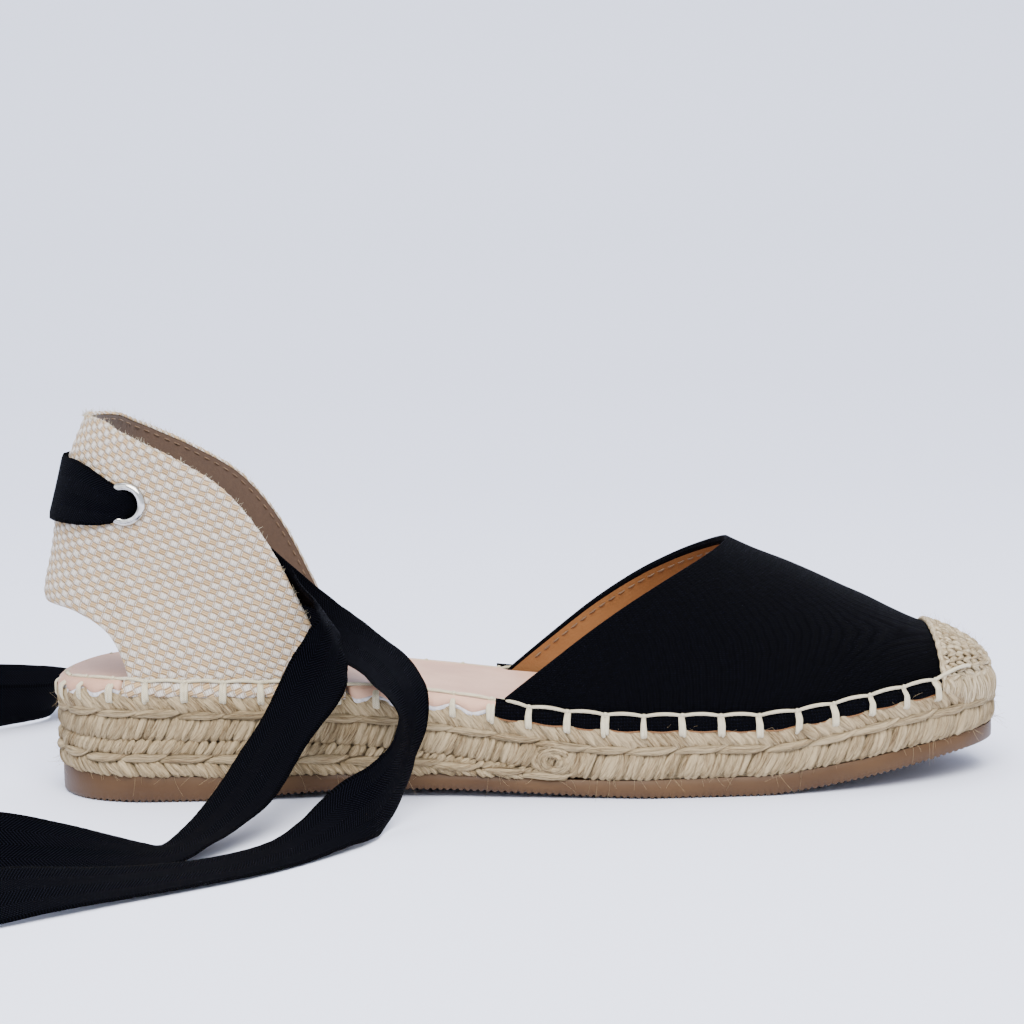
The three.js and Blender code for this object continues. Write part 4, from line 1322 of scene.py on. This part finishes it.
# Two runs of links that cross over each other along the cap's edge.
def crochetChain(stock, turns):
    t = np.linspace(0, 1, 12)
    swell = swellAt(t, 0.03, 0.6)
    line = vampForm(toeCapEdge(turns) + 0.55, turns, 0.55)
    run = runOf(line)
    for phase, lean in ((0.0, -1), (0.5, 1)):
        places = np.arange(phase * crochetCut["linkPitch"], run[-1] - 1, crochetCut["linkPitch"])[:, None]
        at = np.clip(places + crochetCut["link"] * (t - 0.5), 0, run[-1])
        paths = alongLine(at, run, line)
        away = unit(paths - capHeart)
        paths[..., 0] += lean * (t - 0.5)
        strands(stock, paths, away, 0.75 * swell, 0.7 * swell, 9)


def makeToeCap():
    stock = Stock()
    turn = np.linspace(0, np.pi, 121)[:, None]
    x = capX(turn, np.linspace(0, 1, 40), 0, 0.1)
    # the close base under the stitches, in the darker jute with painted shade
    stock.add(vampForm(x, turn, -0.35), slot=1, flip=True)
    turns = np.linspace(0, np.pi, 721)
    crochetRows(stock, turns)
    crochetSkirt(stock)
    crochetChain(stock, turns)
    stock.make("toe_crochet", [crochet, juteShadow], ["toe_cap"], "jute")


makeToeCap()
combed.make("jute_fibres", [jute], slot="jute")


# The blanket stitch: a bar over the edge at each place, and a thread from bar to bar. This is
# how far out and how high the thread lies.
def headOf(s):
    x = loopX(s)
    bare = bareEdge(x) > 0.5
    sunk = np.where(s % loopLength > loopLength / 2, 0.45, -0.15)
    out = np.where(bare, -2.4, -0.72)
    z = juteTop(x) + np.where(bare, gap + insoleThickness - sunk, 2.0)
    return out, z


# Two threads down the face of the jute at each place.
def stitchBars(stock, places):
    t = np.linspace(0, 1, 14)
    for offset in (-0.42, 0.36):
        stray = chance.uniform(-0.35, 0.35, (len(places), 1)) - offset * 0.3
        s = places[:, None] + offset + stray * (1 - t)
        out0, z0 = headOf(places)
        foot = juteTop(loopX(s)) - 3.6 + chance.uniform(-0.5, 0.5, (len(places), 1))
        z = lerp(z0[:, None], foot, t)
        bulge = np.where(bareEdge(loopX(places)) > 0.5, 0.55, 1.0)[:, None]
        shoulder = out0[:, None] + (bulge + 0.15 - out0[:, None]) * ease(t, 0, 0.38)
        out = shoulder - 1.9 * ease(t, 0.72, 1.0) ** 2
        size = stitch["thick"] * (1 + 0.2 * np.sin(np.pi * t) - 0.3 * ease(t, 0.8, 1.0))
        strands(stock, offLoop(s, out, z), outwardAt(s), size, 0.36, 9)


# The thread that runs from the head of one bar to the next.
def stitchRun(stock, first):
    last = first + stitchPitch
    if max(loopX(first), loopX(last)) > stitch["last"]:
        return
    t = np.linspace(0, 1, 26)
    s = first + stitchPitch * t
    (outA, zA), (outB, zB) = headOf(np.array(first + 0.01)), headOf(np.array(last - 0.01))
    arch = np.sin(np.pi * t) ** 0.8
    onInsole = 0.0 if first % loopLength > loopLength / 2 else 0.3
    high = lerp(0.55, onInsole, bareEdge(loopX(s)))
    out = lerp(outA, outB, t) + 0.1 * arch
    line = offLoop(s, out, lerp(zA, zB, t) + high * arch + 0.1 * high)
    tight = 1 - 0.35 * (1 - swellAt(t, 0.02, 0.3))
    away = unit(outwardAt(s) + np.array([0, 0, 0.6]))
    strands(stock, line[None], away[None], 0.48 * tight, 0.42 * tight, 10)


# Two short turns round the head of each bar.
def stitchKnots(stock, places):
    t = np.linspace(0, 1, 7)
    out, z = headOf(places)
    swell = swellAt(t, 0.06, 0.6)
    for rise, along in ((0.25, 0.75), (-0.35, 0.6)):
        s = places[:, None] + along * 1.6 * (t - 0.5)
        line = offLoop(s, out[:, None] + 0.3, z[:, None] + rise + 0.6 * along * (t - 0.5))
        strands(stock, line, outwardAt(s), 0.62 * swell, 0.55 * swell, 8)


# The last thread on each side, which goes up onto the toe cap.
def stitchTail(stock, place, turns):
    t = np.linspace(0, 1, 26)[:, None]
    start = offLoop(np.array([place]), *(np.array([part]) for part in headOf(place)))[0]
    middle, last = vampForm(np.array([236.2, 240.2]), np.array(turns), 1.35)
    bend = 2 * middle - (start + last) / 2  # so that the curve passes through the middle
    line = (1 - t) ** 2 * start + 2 * t * (1 - t) * bend + t**2 * last
    away = unit(line - np.array([232.0, float(centreLine(232.0)), 14.0]))
    strands(stock, line[None], away[None], 0.5, 0.45, 9)


def makeStitches():
    stock = Stock()
    places = stitchPlaces[loopX(stitchPlaces) < stitch["last"]]
    stitchBars(stock, places)
    for first in np.sort(stitchPlaces):
        stitchRun(stock, first)
    stitchKnots(stock, places)
    half = loopLength / 2
    stitchTail(stock, places[places < half].max(), [0.27, 0.33])
    stitchTail(stock, places[places > half].min(), [np.pi - 0.27, np.pi - 0.33])
    stock.make("blanket_stitch", [cotton], slot="natural_canvas")


makeStitches()
fluff = {"onJute": 900, "overSole": 150, "onCap": 220, "onCounter": 700}  # how many fibres


# Loose fibres that stand out from their roots and hang a little.
def hairs(stock, roots, way, length, droop, thick=0.045):
    t = np.linspace(0, 1, 8)
    many = len(roots)
    curl = unit(chance.normal(0, 1, (many, 3)))
    size = length * chance.uniform(0.35, 1.0, many)[:, None, None]
    bend = way[:, None] * t[:, None] + curl[:, None] * (0.55 * t**2)[:, None]
    paths = roots[:, None] + size * (bend + np.array([0, 0, -1]) * (droop * t**2)[:, None])
    paths[..., 2] = np.maximum(paths[..., 2], 0.2)
    thin = thick * (1 - 0.6 * t)
    away = np.broadcast_to(unit(chance.normal(0, 1, (many, 1, 3))), paths.shape)
    strands(stock, paths, away, thin, thin, 3)


def makeFibres():
    stock = Stock()
    many = fluff["onJute"]
    s = chance.uniform(0, loopLength, many)
    x = loopX(s)
    z = lerp(rubberTop(x) + 0.3, juteTop(x) - 0.5, chance.random(many) ** 1.3)
    way = unit(outwardAt(s) * 0.6 + chance.normal(0, 0.7, (many, 3)))
    hairs(stock, offLoop(s, -0.1, z), way, 4.0, 0.3)
    many = fluff["overSole"]
    s = chance.uniform(0, loopLength, many)
    z = rubberTop(loopX(s)) + 0.5
    way = outwardAt(s) * 0.35 + chance.normal(0, 0.6, (many, 3)) - np.array([0, 0, 0.5])
    hairs(stock, offLoop(s, 0.1, z), unit(way), 6.5, 0.25, 0.05)
    many = fluff["onCap"]
    turn, x = chance.uniform(0.1, 3.0, many), chance.uniform(232, 246, many)
    root = vampForm(x, turn, 0.7)
    way = unit(root - np.array([236.0, 2.5, 16.0]) + chance.normal(0, 3, (many, 3)))
    hairs(stock, root, way, 2.6, 0.1, 0.04)
    stock.make("loose_fibres", [jute], slot="jute")
    fray = Stock()
    many = fluff["onCounter"]
    around = chance.uniform(-0.99, 0.99, many)
    top = counterSpan(around)[1]
    root = counterPoint(around, top + 0.3, chance.uniform(-1.2, 0.2, many))
    way = unit(chance.normal(0, 0.6, (many, 3)) + np.array([0.15, 0, 0.9]))
    hairs(fray, root, way, 1.5, 0.0, 0.05)
    fray.make("counter_fray", [cotton], slot="natural_canvas")


makeFibres()


studio = {"key": 56, "keySize": 1.1, "fill": 9, "top": 20, "world": 1.42}


def makeFloor():
    rows = [(-3, 0), (0.8, 0), (1.2, 0.03), (1.5, 0.12), (1.75, 0.3), (1.9, 0.6), (1.95, 1.0), (1.95, 3.5)]
    points, quads = [], []
    for y, z in rows:
        points += [(-4, y, z), (4, y, z)]
    for i in range(len(rows) - 1):
        quads.append((2 * i, 2 * i + 1, 2 * i + 3, 2 * i + 2))
    mesh = bpy.data.meshes.new("studio_floor")
    mesh.from_pydata(points, [], quads)
    mesh.polygons.foreach_set("use_smooth", [True] * len(quads))
    mesh.materials.append(floorFinish("studio paper", (0.79, 0.815, 0.945)))
    floor = bpy.data.objects.new("studio_floor", mesh)
    bpy.context.scene.collection.objects.link(floor)


def softLight(name, place, size, power, colour):
    data = bpy.data.lights.new(name, "AREA")
    data.shape, data.size, data.size_y = "RECTANGLE", size, size
    data.energy, data.color = power, colour
    light = bpy.data.objects.new(name, data)
    light.location = place
    aim = Vector((0, 0, 0.04)) - Vector(place)
    light.rotation_euler = aim.to_track_quat("-Z", "Y").to_euler()
    bpy.context.scene.collection.objects.link(light)


makeFloor()
softLight("key", (0.05, -1.1, 1.3), studio["keySize"], studio["key"], (1.0, 0.985, 0.96))
softLight("fill", (-1.3, -1.1, 0.9), 1.4, studio["fill"], (0.93, 0.96, 1.0))
softLight("top", (0.1, 0.5, 1.6), 1.6, studio["top"], (0.97, 0.98, 1.0))
world = bpy.data.worlds.new("studio air")
world.use_nodes = True
world.node_tree.nodes["Background"].inputs[0].default_value = (0.84, 0.89, 1.0, 1)
world.node_tree.nodes["Background"].inputs[1].default_value = studio["world"]
bpy.context.scene.world = world
print("floor, lights and air are in")
